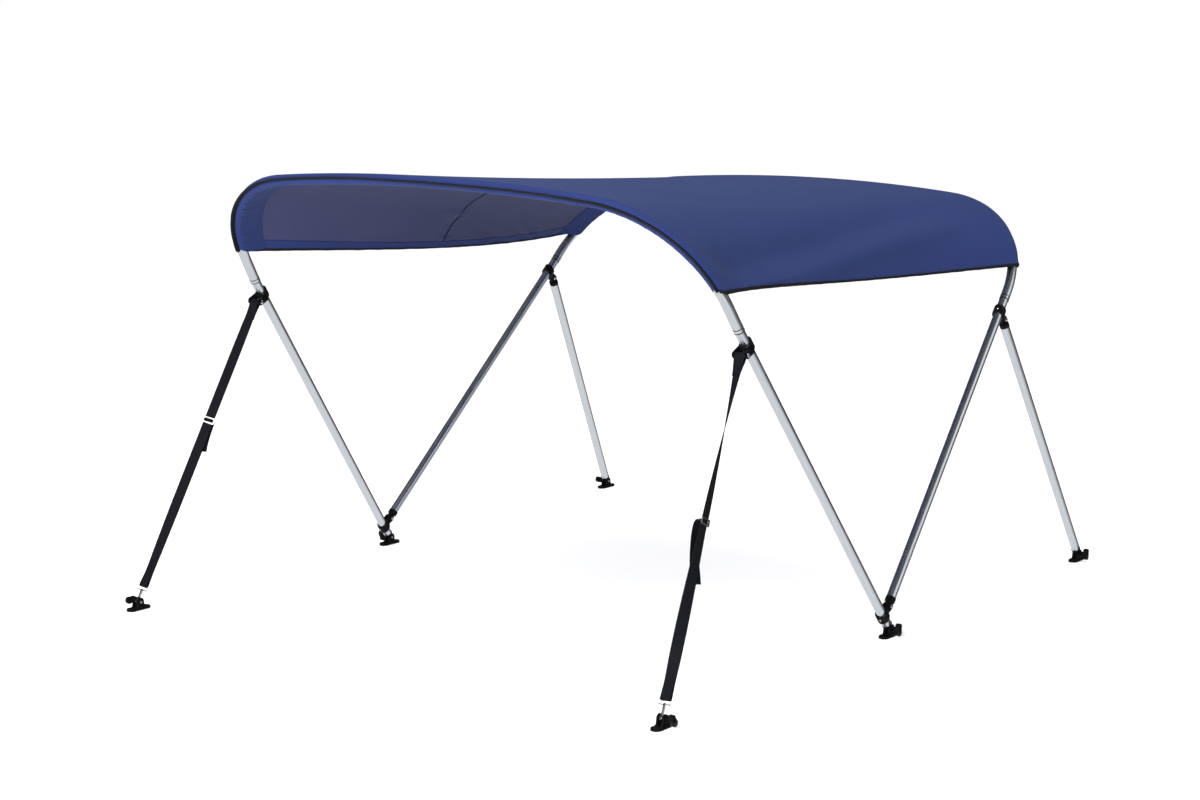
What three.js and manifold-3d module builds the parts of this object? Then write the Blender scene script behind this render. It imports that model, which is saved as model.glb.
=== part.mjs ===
// Two-bow bimini top: a canopy stretched over two hinged tube bows, with straps and support poles.
// Millimetres. X runs across the boat, Y fore and aft with the front bow toward -Y, Z up from the deck.
import * as THREE from 'three';
import { mergeVertices } from 'three/addons/utils/BufferGeometryUtils.js';
import Module from 'manifold-3d';

// Deck mounts: half the beam between the hinges, and each pair's place along the boat.
const HALF_BEAM = 760;
const STRAP_MOUNT_Y = -916;
const MAIN_MOUNT_Y = -36;
const POLE_MOUNT_Y = 916;

// Tubes, webbing and the gap that touching pieces keep.
const LEG_R = 11.1;
const ARCH_R = 11.8;
const TUBE_SIDES = 14;
const JOINT_GAP = 0.8;
const GAP = 0.3;
const WEBBING_WIDTH = 25.4;
const WEBBING_THICK = 1.5;

// Deck hinge.
const BASE_LENGTH = 66;
const BASE_WIDTH = 24;
const BASE_THICK = 5.5;
const SCREW_SPACING = 48;
const SCREW_R = 2.5;
const PIN_HEIGHT = 19;
const PIN_R = 3;
const PIN_HOLE_R = 3.45;
const EAR_R = 10;
const EAR_GAP = 9.6;
const EAR_THICK = 4;

// Thumb knob on the hinge pin.
const KNOB_LENGTH = 29;
const KNOB_WIDTH = 17;
const KNOB_THICK = 9;
const NECK_R = 5.5;
const NECK_LENGTH = 11;

// Eye end in a tube, measured from its pin.
const EYE_R = 8;
const EYE_THICK = 8;
const CAP_R = 12;
const CAP_FROM = 11.2;
const FOOT_CAP_TO = 15;
const JAW_CAP_TO = 21.5;

// Jaw slide on a leg.
const JAW_R = 15.4;
const JAW_HALF_HEIGHT = 9.5;
const JAW_TILT = 5;
const LUG_THICK = 4;
const LUG_END_R = 8;
const LUG_REACH = 27;
const EYE_LUG_GAP = 10;
const STRAP_LUG_GAP = 27.8;
const BOLT_HEAD_R = 5;
const BOLT_HEAD_THICK = 3;

// Canopy cloth, sleeve pockets and edging.
const CLOTH_THICK = 2;
const POCKET_THICK = 1.5;
const SLEEVE_R = ARCH_R + 1.2;
const POCKET_WIDTH = 98;
const PIPING_THICK = 5;
const PIPING_REACH = 11;
const BINDING_WIDTH = 8;
const BINDING_THICK = 3;
const BINDING_LIFT = 0.3;
const CORNER_TRIM = 16;
const EDGE_HANG = { left: 7.2, right: 0 };
const EDGE_RISE = { left: 18.6, right: 23.9 };
const CROWN_SAG = 10.3;
const EDGE_SAG = 75.3;

// Where the cloth stops around each sleeve, as an angle from its top toward the piping.
const CLOTH_STOP = THREE.MathUtils.degToRad(74);
const POCKET_START = THREE.MathUtils.degToRad(106);
const POCKET_LEAVE = THREE.MathUtils.degToRad(190);

// Each bow's arch, from the ring where it joins its legs: the ring's place, the arch plane's rake
// from upright, the leg lean, the straight stretch, the bend and crown radii, and the height above
// the ring at which the canopy's side edge lies.
const FRONT = {
  ring: new THREE.Vector3(699.3, -571, 750.8),
  rake: Math.atan(-0.6371),
  lean: THREE.MathUtils.degToRad(5.08),
  straight: 61.5,
  bendR: 278,
  crownR: 4430,
  edgeAbove: 91,
};
const REAR = {
  ring: new THREE.Vector3(696.7, 590.6, 702.8),
  rake: Math.atan(0.9288),
  lean: THREE.MathUtils.degToRad(2.65),
  straight: 19.4,
  bendR: 301,
  crownR: 3935,
  edgeAbove: 97,
};

// The jaw slides' places: distance up the leg from its lower pin.
const LOW_JAW_AT = 43;
const STRAP_JAW_AT = 867;
const POLE_JAW_AT = 853;
const LOW_LUG_REACH = 29.5;

// Straps: the hook's and slider's sizes, and each side's slider place, tail length and twist.
const HOOK_LOOP_NEAR = 28;
const HOOK_LOOP_FAR = 39;
const LOOP_WIDTH = 31.8;
const LOOP_WIRE = 2.6;
const SLIDER_LENGTH = 15;
const SLIDER_WIDTH = 32;
const SLIDER_BAR = 2.4;
const STITCHED_LENGTH = 45;
const HOOK_THICK = 3.2;
const HOOK_ASIDE = -2.2;

// Each strap: its slider's place, which face the tail is on, the webbing's turn about its own line
// at distances down from the bolt, and the tail's run from the slider's rear bar.
const STRAPS = {
  left: {
    sliderAt: 309,
    finish: 'bright',
    tailFace: -1,
    turns: [
      { at: 0, turn: 0 },
      { at: 60, turn: -14 },
      { at: 150, turn: -22 },
      { at: 520, turn: -22 },
      { at: 700, turn: 0 },
    ],
    tail: [
      { down: 4, out: 9.4, aside: 0, turn: -22 },
      { down: 14, out: 9, aside: 0.5, turn: -22 },
      { down: 32, out: 8, aside: 2, turn: -22 },
      { down: 54, out: 8.5, aside: 4, turn: -22 },
      { down: 75, out: 10, aside: 7, turn: -20 },
    ],
  },
  right: {
    sliderAt: 360,
    finish: 'dull',
    tailFace: 1,
    turns: [
      { at: 10, turn: 0 },
      { at: 40, turn: 20 },
      { at: 90, turn: 38 },
      { at: 200, turn: 66 },
      { at: 320, turn: 88 },
      { at: 390, turn: 88 },
      { at: 500, turn: 112 },
      { at: 600, turn: 142 },
      { at: 700, turn: 180 },
    ],
    tail: [
      { down: -1, out: 11.5, aside: 0, turn: 88 },
      { down: 2.5, out: 15, aside: 0, turn: 88 },
      { down: 11, out: 17, aside: 0, turn: 89 },
      { down: 30, out: 16.5, aside: 0, turn: 93 },
      { down: 54, out: 13.5, aside: -1, turn: 98 },
      { down: 78, out: 11, aside: -4, turn: 106 },
      { down: 102, out: 9.5, aside: -9, turn: 114 },
      { down: 127, out: 9.5, aside: -15, turn: 120 },
    ],
  },
};

// Thumb knobs: each one's turn from lying fore and aft.
const KNOB_TURNS = [
  { side: 'left', strap: 0, main: -70, pole: -15 },
  { side: 'right', strap: -53, main: 90, pole: 90 },
];

const COLOURS = {
  canopy: { color: 0x2f3f7d, roughness: 0.75, metalness: 0 },
  pocket: { color: 0x35479a, roughness: 0.75, metalness: 0 },
  edging: { color: 0x17181a, roughness: 0.7, metalness: 0 },
  tube: { color: 0xc3c6cc, roughness: 0.32, metalness: 0.9 },
  fitting: { color: 0x131416, roughness: 0.45, metalness: 0 },
  bright: { color: 0xd7d9dc, roughness: 0.18, metalness: 1 },
  dull: { color: 0x8a8d92, roughness: 0.4, metalness: 0.9 },
  webbing: { color: 0x23262a, roughness: 0.85, metalness: 0 },
};

const X = new THREE.Vector3(1, 0, 0);
const Y = new THREE.Vector3(0, 1, 0);
const UP = new THREE.Vector3(0, 0, 1);

const wasm = await Module();
wasm.setup();

// A three.js geometry as a manifold solid.
function solidOf(geometry) {
  const bare = geometry.clone();
  bare.deleteAttribute('normal');
  bare.deleteAttribute('uv');
  const merged = mergeVertices(bare, 1e-4);
  const vertProperties = new Float32Array(merged.attributes.position.array);
  const triVerts = new Uint32Array(merged.index.array);
  return new wasm.Manifold(new wasm.Mesh({ numProp: 3, vertProperties, triVerts }));
}

// A manifold solid as a three.js geometry.
function geometryOf(solid) {
  const mesh = solid.getMesh();
  const geometry = new THREE.BufferGeometry();
  geometry.setAttribute('position', new THREE.Float32BufferAttribute(mesh.vertProperties, 3));
  geometry.setIndex(Array.from(mesh.triVerts));
  return geometry;
}

// Geometries joined into one, then cut by others.
function joined(pieces, cuts = []) {
  const whole = pieces.map(solidOf).reduce((sum, piece) => sum.add(piece));
  return geometryOf(cuts.map(solidOf).reduce((rest, cut) => rest.subtract(cut), whole));
}

// A geometry placed by an origin and its own X, Y and Z directions.
function placed(geometry, origin, xAxis, yAxis, zAxis) {
  const matrix = new THREE.Matrix4().makeBasis(xAxis, yAxis, zAxis).setPosition(origin);
  return geometry.clone().applyMatrix4(matrix);
}

// A round bar along local X, Y or Z.
function barX(radius, from, to, sides = 12) {
  const bar = new THREE.CylinderGeometry(radius, radius, to - from, sides);
  return bar.rotateZ(Math.PI / 2).translate((from + to) / 2, 0, 0);
}

function barZ(radius, from, to, sides = TUBE_SIDES) {
  const bar = new THREE.CylinderGeometry(radius, radius, to - from, sides);
  return bar.rotateX(Math.PI / 2).translate(0, 0, (from + to) / 2);
}

// A plate drawn in local Y and Z, as thick as from..to along X.
function plateX(shape, from, to, curveSegments = 5) {
  const plate = new THREE.ExtrudeGeometry(shape, { depth: to - from, bevelEnabled: false, curveSegments });
  const toYZ = new THREE.Matrix4().makeBasis(Y, UP, X);
  return plate.applyMatrix4(toYZ).translate(from, 0, 0);
}

// A closed mesh from sections of equally many points, with a flat cap at each end.
function loft(sections) {
  const count = sections[0].length;
  const points = sections.flat();
  const faces = [];
  for (let row = 0; row + 1 < sections.length; row += 1) {
    for (let k = 0; k < count; k += 1) {
      const a = row * count + k;
      const b = row * count + ((k + 1) % count);
      faces.push(a, b, b + count, a, b + count, a + count);
    }
  }
  const last = (sections.length - 1) * count;
  for (let k = 1; k + 1 < count; k += 1) {
    faces.push(0, k + 1, k, last, last + k, last + k + 1);
  }
  return closedMesh(points, faces);
}

// A closed sheet: rows of {outer, inner} points, with its rim closed.
function sheet(rows) {
  const across = rows[0].length;
  const points = [...rows.flat().map((p) => p.outer), ...rows.flat().map((p) => p.inner)];
  const under = rows.length * across;
  const faces = [];
  for (let i = 0; i + 1 < rows.length; i += 1) {
    for (let j = 0; j + 1 < across; j += 1) {
      const a = i * across + j;
      const [b, c, d] = [a + 1, a + across + 1, a + across];
      faces.push(a, b, c, a, c, d);
      faces.push(under + a, under + c, under + b, under + a, under + d, under + c);
    }
  }
  const rim = [];
  for (let j = 0; j < across; j += 1) rim.push(j);
  for (let i = 1; i < rows.length; i += 1) rim.push(i * across + across - 1);
  for (let j = across - 2; j >= 0; j -= 1) rim.push((rows.length - 1) * across + j);
  for (let i = rows.length - 2; i > 0; i -= 1) rim.push(i * across);
  rim.forEach((a, k) => {
    const b = rim[(k + 1) % rim.length];
    faces.push(b, a, under + a, b, under + a, under + b);
  });
  return closedMesh(points, faces);
}

// Points and faces as a geometry whose faces point out.
function closedMesh(points, faces) {
  const volume = faces.reduce((sum, _, k) => {
    if (k % 3) return sum;
    const [a, b, c] = [points[faces[k]], points[faces[k + 1]], points[faces[k + 2]]];
    return sum + a.dot(b.clone().cross(c)) / 6;
  }, 0);
  const outward = volume > 0 ? faces : faces.slice().reverse();
  const geometry = new THREE.BufferGeometry().setFromPoints(points);
  return geometry.setIndex(outward);
}

// An arch's outline in its own plane, and its lengths from the crown's middle to each joint.
function archOutline(bow) {
  const bendX = bow.ring.x - Math.tan(bow.lean) * bow.straight - bow.bendR * Math.cos(bow.lean);
  const bendS = bow.straight - bow.bendR * Math.sin(bow.lean);
  const meet = Math.acos(bendX / (bow.crownR - bow.bendR));
  const crownS = bendS + (bow.bendR - bow.crownR) * Math.sin(meet);
  const crown = bow.crownR * (Math.PI / 2 - meet);
  const bend = crown + bow.bendR * (meet - bow.lean);
  const whole = bend + bow.straight / Math.cos(bow.lean);
  return { bendX, bendS, meet, crownS, crown, bend, whole };
}

// The arch's centre line at a signed length from the crown's middle: its point and direction.
function archAt(bow, length) {
  const o = archOutline(bow);
  const far = Math.abs(length);
  const side = length < 0 ? -1 : 1;
  let x;
  let s;
  let angle;
  if (far <= o.crown) {
    angle = Math.PI / 2 - far / bow.crownR;
    x = bow.crownR * Math.cos(angle);
    s = o.crownS + bow.crownR * Math.sin(angle);
  } else if (far <= o.bend) {
    angle = o.meet - (far - o.crown) / bow.bendR;
    x = o.bendX + bow.bendR * Math.cos(angle);
    s = o.bendS + bow.bendR * Math.sin(angle);
  } else {
    angle = bow.lean;
    x = bow.ring.x - (o.whole - far) * Math.sin(bow.lean);
    s = (o.whole - far) * Math.cos(bow.lean);
  }
  const rise = new THREE.Vector3(0, Math.sin(bow.rake), Math.cos(bow.rake));
  const point = new THREE.Vector3(side * x, bow.ring.y, bow.ring.z).addScaledVector(rise, s);
  const direction = new THREE.Vector3(Math.sin(angle), 0, 0)
    .addScaledVector(rise, -side * Math.cos(angle))
    .normalize();
  return { point, direction };
}

// The length from the crown's middle at which the canopy's side edge lies.
function edgeLength(bow) {
  return archOutline(bow).whole - bow.edgeAbove;
}

// Shares of the way from the crown's middle to the side edge: few on the crown, more in the bend.
const CROWN_STEPS = 5;
const BEND_STEPS = 11;
const BEND_SHARE = 0.57;
const halfShares = [];
for (let k = 1; k <= CROWN_STEPS; k += 1) halfShares.push((BEND_SHARE * k) / CROWN_STEPS);
for (let k = 1; k <= BEND_STEPS; k += 1) halfShares.push(BEND_SHARE + ((1 - BEND_SHARE) * k) / BEND_STEPS);
const SHARES = [...halfShares.map((share) => -share).reverse(), 0, ...halfShares];

// The arch tube's centre line, with its steps where the cloth's columns are.
class ArchLine extends THREE.Curve {
  constructor(bow) {
    super();
    this.bow = bow;
    const end = archOutline(bow).whole - JOINT_GAP;
    const near = edgeLength(bow);
    const skirt = [near + (end - near) / 2, end];
    const covered = SHARES.map((share) => share * near);
    this.lengths = [-skirt[1], -skirt[0], ...covered, ...skirt];
  }

  getPoint(t, target = new THREE.Vector3()) {
    const place = t * (this.lengths.length - 1);
    const k = Math.min(Math.floor(place), this.lengths.length - 2);
    const length = THREE.MathUtils.lerp(this.lengths[k], this.lengths[k + 1], place - k);
    return target.copy(archAt(this.bow, length).point);
  }

  getUtoTmapping(u) {
    return u;
  }
}

function archTube(bow) {
  const line = new ArchLine(bow);
  const outline = new THREE.Shape().absarc(0, 0, ARCH_R, 0, 2 * Math.PI);
  return new THREE.ExtrudeGeometry(outline, {
    steps: line.lengths.length - 1,
    extrudePath: line,
    curveSegments: TUBE_SIDES / 2,
  });
}

// Both sleeves at one share: the tubes' centres, and each sleeve's top and front or rear direction.
function crossing(share) {
  const front = archAt(FRONT, share * edgeLength(FRONT));
  const rear = archAt(REAR, share * edgeLength(REAR));
  const back = rear.point.clone().sub(front.point).normalize();
  const basis = (end, toward) => {
    const along = back.clone().addScaledVector(end.direction, -back.dot(end.direction)).normalize();
    const top = end.direction.clone().cross(along).normalize();
    return { centre: end.point, along: end.direction, top, out: along.multiplyScalar(toward) };
  };
  return { front: basis(front, -1), rear: basis(rear, 1) };
}

// A point on a sleeve at an angle from its top toward the piping.
function onSleeve(end, angle, radius) {
  return end.centre
    .clone()
    .addScaledVector(end.top, radius * Math.cos(angle))
    .addScaledVector(end.out, radius * Math.sin(angle));
}

// How far the stretched cloth is drawn in between the bows: little on the crown, most at its edge.
function drawnIn(share) {
  const flank = THREE.MathUtils.smoothstep(Math.abs(share), 0.3, 1);
  return CROWN_SAG + (EDGE_SAG - CROWN_SAG) * flank;
}

// How far past a sleeve's top the stretched cloth leaves it.
function leaveAngle(share) {
  const ends = crossing(share);
  return Math.atan((4 * drawnIn(share)) / ends.front.centre.distanceTo(ends.rear.centre));
}

// A share drawn back from the side edge by a distance there, less higher up and not on the crown.
// The cloth sits a little to the left, so that its left edge hangs lower.
function drawnUp(share, distance) {
  const flank = THREE.MathUtils.smoothstep(Math.abs(share), BEND_SHARE, 1);
  const hang = share < 0 ? EDGE_HANG.left : EDGE_HANG.right;
  return share * (1 - ((distance - hang) / edgeLength(FRONT)) * flank);
}

// The share at an angle around a sleeve: the cloth's corner ends sooner at the piping than on top.
function cornered(share, angle) {
  return drawnUp(share, CORNER_TRIM * Math.sin(THREE.MathUtils.clamp(angle, 0, Math.PI / 2)));
}

// A point of the cloth between the bows, lifted off its middle layer.
function onSpan(place, t, lift) {
  const rise = place < 0 ? EDGE_RISE.left : EDGE_RISE.right;
  const share = drawnUp(place, rise * 4 * t * (1 - t));
  const ends = crossing(share);
  const radius = SLEEVE_R + CLOTH_THICK / 2;
  const leave = leaveAngle(share);
  const a = onSleeve(ends.front, -leave, radius);
  const b = onSleeve(ends.rear, -leave, radius);
  const up = ends.front.top.clone().lerp(ends.rear.top, t).normalize();
  const back = b.clone().sub(a).normalize();
  const sag = drawnIn(share) * 4 * t * (1 - t);
  const tilt = leave * (1 - 2 * t);
  return a.lerp(b, t)
    .addScaledVector(up, lift * Math.cos(tilt) - sag)
    .addScaledVector(back, lift * Math.sin(tilt));
}

// Where a pocket's seam lies between the bows, as a share of the way from the front one.
function seamPlace(share, name) {
  const ends = crossing(share);
  const reach = (POCKET_WIDTH - SLEEVE_R) / ends.front.centre.distanceTo(ends.rear.centre);
  return name === 'front' ? reach : 1 - reach;
}

// One column point of the cloth for a row: around the front sleeve, across, around the rear one.
function onCloth(row, share, lift) {
  if (row.seam) return onSpan(share, seamPlace(share, row.seam), lift);
  if (row.span !== undefined) return onSpan(share, row.span, lift);
  const angle = THREE.MathUtils.lerp(-leaveAngle(share), CLOTH_STOP, row.wrap);
  const end = crossing(cornered(share, angle))[row.sleeve];
  return onSleeve(end, angle, SLEEVE_R + CLOTH_THICK / 2 + lift);
}

const WRAP_STEPS = 3;
const SPAN_PLACES = [0.16, 0.27, 0.385, 0.5, 0.615, 0.73, 0.84];
const clothRows = [];
for (let k = WRAP_STEPS; k > 0; k -= 1) {
  clothRows.push({ sleeve: 'front', wrap: k / WRAP_STEPS });
}
clothRows.push({ span: 0 }, { seam: 'front' });
SPAN_PLACES.forEach((span) => clothRows.push({ span }));
clothRows.push({ seam: 'rear' }, { span: 1 });
for (let k = 1; k <= WRAP_STEPS; k += 1) {
  clothRows.push({ sleeve: 'rear', wrap: k / WRAP_STEPS });
}

// The cloth stops where its binding begins.
const BINDING_GAP = 1;
const EDGE_SHARE = 1 - (BINDING_WIDTH + BINDING_GAP) / edgeLength(FRONT);

function canopy() {
  return sheet(clothRows.map((row) => SHARES.map((share) => ({
    outer: onCloth(row, share * EDGE_SHARE, CLOTH_THICK / 2),
    inner: onCloth(row, share * EDGE_SHARE, -CLOTH_THICK / 2),
  }))));
}

// A pocket strip: from the piping under the tube, then taut to its seam under the cloth.
const POCKET_WRAP_STEPS = 4;
const POCKET_FLAT_STEPS = 2;
function pocket(name) {
  const radius = SLEEVE_R + POCKET_THICK / 2;
  const under = -(CLOTH_THICK + POCKET_THICK) / 2 - 2 * GAP;
  const column = (share) => {
    const seam = onSpan(share, seamPlace(share, name), under);
    const middle = [];
    for (let k = 0; k <= POCKET_WRAP_STEPS; k += 1) {
      const angle = THREE.MathUtils.lerp(POCKET_START, POCKET_LEAVE, k / POCKET_WRAP_STEPS);
      const end = crossing(cornered(share, POCKET_LEAVE - angle))[name];
      middle.push({ point: onSleeve(end, angle, radius), normal: onSleeve(end, angle, 1).sub(end.centre) });
    }
    const leave = middle[POCKET_WRAP_STEPS];
    for (let k = 1; k <= POCKET_FLAT_STEPS; k += 1) {
      middle.push({ point: leave.point.clone().lerp(seam, k / POCKET_FLAT_STEPS), normal: leave.normal });
    }
    return middle.map(({ point, normal }) => ({
      outer: point.clone().addScaledVector(normal, POCKET_THICK / 2),
      inner: point.clone().addScaledVector(normal, -POCKET_THICK / 2),
    }));
  };
  const columns = SHARES.map((share) => column(share * EDGE_SHARE));
  return sheet(columns[0].map((_, i) => columns.map((points) => points[i])));
}

// The flat edging that joins cloth and pocket stands out from the sleeve.
function piping(name) {
  const root = SLEEVE_R + GAP;
  const tip = root + PIPING_REACH;
  const outline = [
    [root, -0.5], [root, 0.5], [tip - 1.5, 0.5], [tip, 0.2], [tip, -0.2], [tip - 1.5, -0.5],
  ];
  return loft(SHARES.map((share) => {
    const end = crossing(cornered(share, Math.PI / 2))[name];
    return outline.map(([out, across]) => end.centre
      .clone()
      .addScaledVector(end.out, out)
      .addScaledVector(end.top, across * PIPING_THICK));
  }));
}

// The binding along one side edge, in line with the cloth.
function binding(side) {
  const near = EDGE_SHARE + BINDING_GAP / edgeLength(FRONT);
  return loft(clothRows.map((row) => {
    const half = BINDING_THICK / 2;
    return [[near, half], [1, half], [1, -half], [near, -half]]
      .map(([share, lift]) => onCloth(row, side * share, BINDING_LIFT + lift));
  }));
}

// A tube's lower pin, its direction, and the directions across and behind it.
function legFrame(pin, ring) {
  const along = ring.clone().sub(pin).normalize();
  const across = X.clone().addScaledVector(along, -X.dot(along)).normalize();
  const back = along.clone().cross(across).normalize();
  return { pin, ring, along, across, back };
}

// A straight tube between two distances from a point.
function straightTube(frame, from, to) {
  return placed(barZ(LEG_R, from, to), frame.pin, frame.across, frame.back, frame.along);
}

function deckHinge() {
  const run = (BASE_LENGTH - BASE_WIDTH) / 2;
  const outline = new THREE.Shape()
    .absarc(0, run, BASE_WIDTH / 2, 0, Math.PI)
    .absarc(0, -run, BASE_WIDTH / 2, Math.PI, 2 * Math.PI);
  [-SCREW_SPACING / 2, SCREW_SPACING / 2].forEach((y) => {
    outline.holes.push(new THREE.Path().absarc(0, y, SCREW_R, 0, 2 * Math.PI, true));
  });
  const extent = { depth: BASE_THICK, bevelEnabled: false, curveSegments: 4 };
  const base = new THREE.ExtrudeGeometry(outline, extent);
  const foot = EAR_R + 3;
  const ear = new THREE.Shape()
    .moveTo(-foot, BASE_THICK - 1)
    .lineTo(foot, BASE_THICK - 1)
    .absarc(0, PIN_HEIGHT, EAR_R, 0, Math.PI);
  ear.holes.push(new THREE.Path().absarc(0, PIN_HEIGHT, PIN_HOLE_R, 0, 2 * Math.PI, true));
  const inner = EAR_GAP / 2;
  const outer = inner + EAR_THICK;
  return joined([base, plateX(ear, inner, outer, 6), plateX(ear, -outer, -inner, 6)]);
}

function hingePin() {
  const reach = EAR_GAP / 2 + EAR_THICK;
  return barX(PIN_R, -reach - 1.6, reach + 0.4);
}

function knob() {
  const start = EAR_GAP / 2 + EAR_THICK + 0.7;
  const face = start + NECK_LENGTH;
  const lobe = (KNOB_LENGTH - KNOB_WIDTH) / 2;
  const outline = new THREE.Shape()
    .absarc(lobe, 0, KNOB_WIDTH / 2, -Math.PI / 2, Math.PI / 2)
    .absarc(-lobe, 0, KNOB_WIDTH / 2, Math.PI / 2, 1.5 * Math.PI);
  const rim = 1.5;
  const body = new THREE.ExtrudeGeometry(outline, {
    depth: KNOB_THICK - 2 * rim,
    bevelThickness: rim,
    bevelSize: rim,
    bevelOffset: -rim,
    bevelSegments: 1,
    curveSegments: 4,
  });
  body.applyMatrix4(new THREE.Matrix4().makeBasis(Y, UP, X)).translate(face + rim, 0, 0);
  return joined([body, barX(NECK_R, start, face + 1)]);
}

// An eye end, its pin at the origin along X and its tube along Z.
function eyeEnd(pinAxis, along, capTo) {
  const tongue = new THREE.Shape()
    .moveTo(EYE_R, CAP_FROM + 2)
    .lineTo(-EYE_R, CAP_FROM + 2)
    .absarc(0, 0, EYE_R, Math.PI, 2 * Math.PI);
  const plate = plateX(tongue, -EYE_THICK / 2, EYE_THICK / 2, 4);
  const hole = barX(PIN_HOLE_R, -EYE_THICK, EYE_THICK);
  const upright = along.clone().addScaledVector(pinAxis, -along.dot(pinAxis)).normalize();
  const origin = new THREE.Vector3();
  const turned = (g) => placed(g, origin, pinAxis, upright.clone().cross(pinAxis), upright);
  const capAcross = pinAxis.clone().addScaledVector(along, -along.dot(pinAxis)).normalize();
  const cap = placed(barZ(CAP_R, CAP_FROM, capTo), origin, capAcross, along.clone().cross(capAcross), along);
  return joined([turned(plate), cap], [turned(hole)]);
}

// A jaw slide, its leg along Z and its lugs toward +Y; lean is +1 where the held piece leaves downward.
function jaw(lugGap, reach, lean) {
  const far = new THREE.Shape()
    .moveTo(-JAW_R - 1, lean * JAW_TILT - JAW_HALF_HEIGHT)
    .lineTo(JAW_R + 1, -lean * JAW_TILT - JAW_HALF_HEIGHT)
    .lineTo(JAW_R + 1, -lean * JAW_TILT + JAW_HALF_HEIGHT)
    .lineTo(-JAW_R - 1, lean * JAW_TILT + JAW_HALF_HEIGHT);
  const band = solidOf(barZ(JAW_R, -30, 30)).intersect(solidOf(plateX(far, -JAW_R - 1, JAW_R + 1)));
  const lug = new THREE.Shape()
    .moveTo(4, LUG_END_R - lean * 4)
    .lineTo(4, -LUG_END_R - lean * 4)
    .lineTo(reach, -LUG_END_R)
    .absarc(reach, 0, LUG_END_R, -Math.PI / 2, Math.PI / 2);
  const inner = lugGap / 2;
  const outer = inner + LUG_THICK;
  const bolt = barX(PIN_HOLE_R, -outer - 1, outer + 1).translate(0, reach, 0);
  const lugs = [plateX(lug, inner, outer, 4), plateX(lug, -outer, -inner, 4)];
  return joined([geometryOf(band), ...lugs], [barZ(LEG_R + GAP, -40, 40), bolt]);
}

// A bolt with a round head at each end, along X.
function jawBolt(lugGap) {
  const face = lugGap / 2 + LUG_THICK + GAP;
  const end = face + BOLT_HEAD_THICK;
  const profile = [
    [0, -end], [BOLT_HEAD_R - 1.5, -end], [BOLT_HEAD_R, -face], [PIN_R, -face],
    [PIN_R, face], [BOLT_HEAD_R, face], [BOLT_HEAD_R - 1.5, end], [0, end],
  ].map(([radius, along]) => new THREE.Vector2(radius, along));
  return new THREE.LatheGeometry(profile, 12).rotateZ(-Math.PI / 2);
}

// The hook on the hinge pin with the loop that the webbing turns around, its pull along Z.
function strapHook() {
  const half = LOOP_WIRE / 2;
  const loop = new THREE.Shape();
  const [low, high] = [HOOK_LOOP_NEAR - half, HOOK_LOOP_FAR + half];
  const corner = 3;
  const rounded = (path, right, bottom, top, r) => path
    .moveTo(-right + r, bottom)
    .lineTo(right - r, bottom)
    .absarc(right - r, bottom + r, r, -Math.PI / 2, 0)
    .lineTo(right, top - r)
    .absarc(right - r, top - r, r, 0, Math.PI / 2)
    .lineTo(-right + r, top)
    .absarc(-right + r, top - r, r, Math.PI / 2, Math.PI)
    .lineTo(-right, bottom + r)
    .absarc(-right + r, bottom + r, r, Math.PI, 1.5 * Math.PI);
  rounded(loop, LOOP_WIDTH / 2, low, high, corner);
  const inside = new THREE.Path();
  rounded(inside, LOOP_WIDTH / 2 - LOOP_WIRE, low + LOOP_WIRE, high - LOOP_WIRE, 1);
  loop.holes.push(inside);
  const ring = new THREE.ExtrudeGeometry(loop, { depth: LOOP_WIRE, bevelEnabled: false, curveSegments: 1 });
  ring.applyMatrix4(new THREE.Matrix4().makeBasis(X, UP, Y.clone().negate())).translate(0, half, 0);
  const shank = new THREE.Shape()
    .moveTo(3.2, HOOK_LOOP_NEAR)
    .absarc(0, HOOK_LOOP_NEAR, 3.2, 0, Math.PI)
    .lineTo(-3.2, 6)
    .absarc(0, 0, 6.8, 0.65 * Math.PI, 2.35 * Math.PI);
  shank.holes.push(new THREE.Path().absarc(0, 0, PIN_HOLE_R + 0.3, 0, 2 * Math.PI, true));
  return joined([ring, plateX(shank, -HOOK_THICK / 2, HOOK_THICK / 2)]);
}

// The slider: a frame in front of the webbing and a bar behind it, the strap along Z.
function slider(frontY, barY) {
  const [w, l] = [SLIDER_WIDTH / 2, SLIDER_LENGTH / 2];
  const frame = new THREE.Shape().moveTo(-w, -l).lineTo(w, -l).lineTo(w, l).lineTo(-w, l);
  const [hw, hl] = [w - SLIDER_BAR - GAP, l - SLIDER_BAR];
  frame.holes.push(new THREE.Path().moveTo(-hw, -hl).lineTo(-hw, hl).lineTo(hw, hl).lineTo(hw, -hl));
  const front = new THREE.ExtrudeGeometry(frame, { depth: SLIDER_BAR, bevelEnabled: false });
  front.applyMatrix4(new THREE.Matrix4().makeBasis(X, UP, Y.clone().negate()));
  front.translate(0, frontY + SLIDER_BAR / 2, 0);
  const postDepth = barY - frontY;
  const posts = [-1, 1].map((end) => new THREE.BoxGeometry(SLIDER_BAR, postDepth, SLIDER_BAR)
    .translate(end * (w - SLIDER_BAR / 2 - 0.2), (frontY + barY) / 2, 0));
  const bar = barX(SLIDER_BAR / 2 + 0.2, -w + 0.3, w - 0.3, 10).translate(0, barY, 0);
  return joined([front, bar, ...posts]);
}

// The strap's own frame: down along it, across it, and toward its front face.
function strapFrame(bolt, pin) {
  const down = pin.clone().sub(bolt).normalize();
  const across = X.clone().addScaledVector(down, -X.dot(down)).normalize();
  const front = down.clone().cross(across).normalize();
  return { bolt, down, across, front, length: bolt.distanceTo(pin) - HOOK_LOOP_FAR };
}

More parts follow.
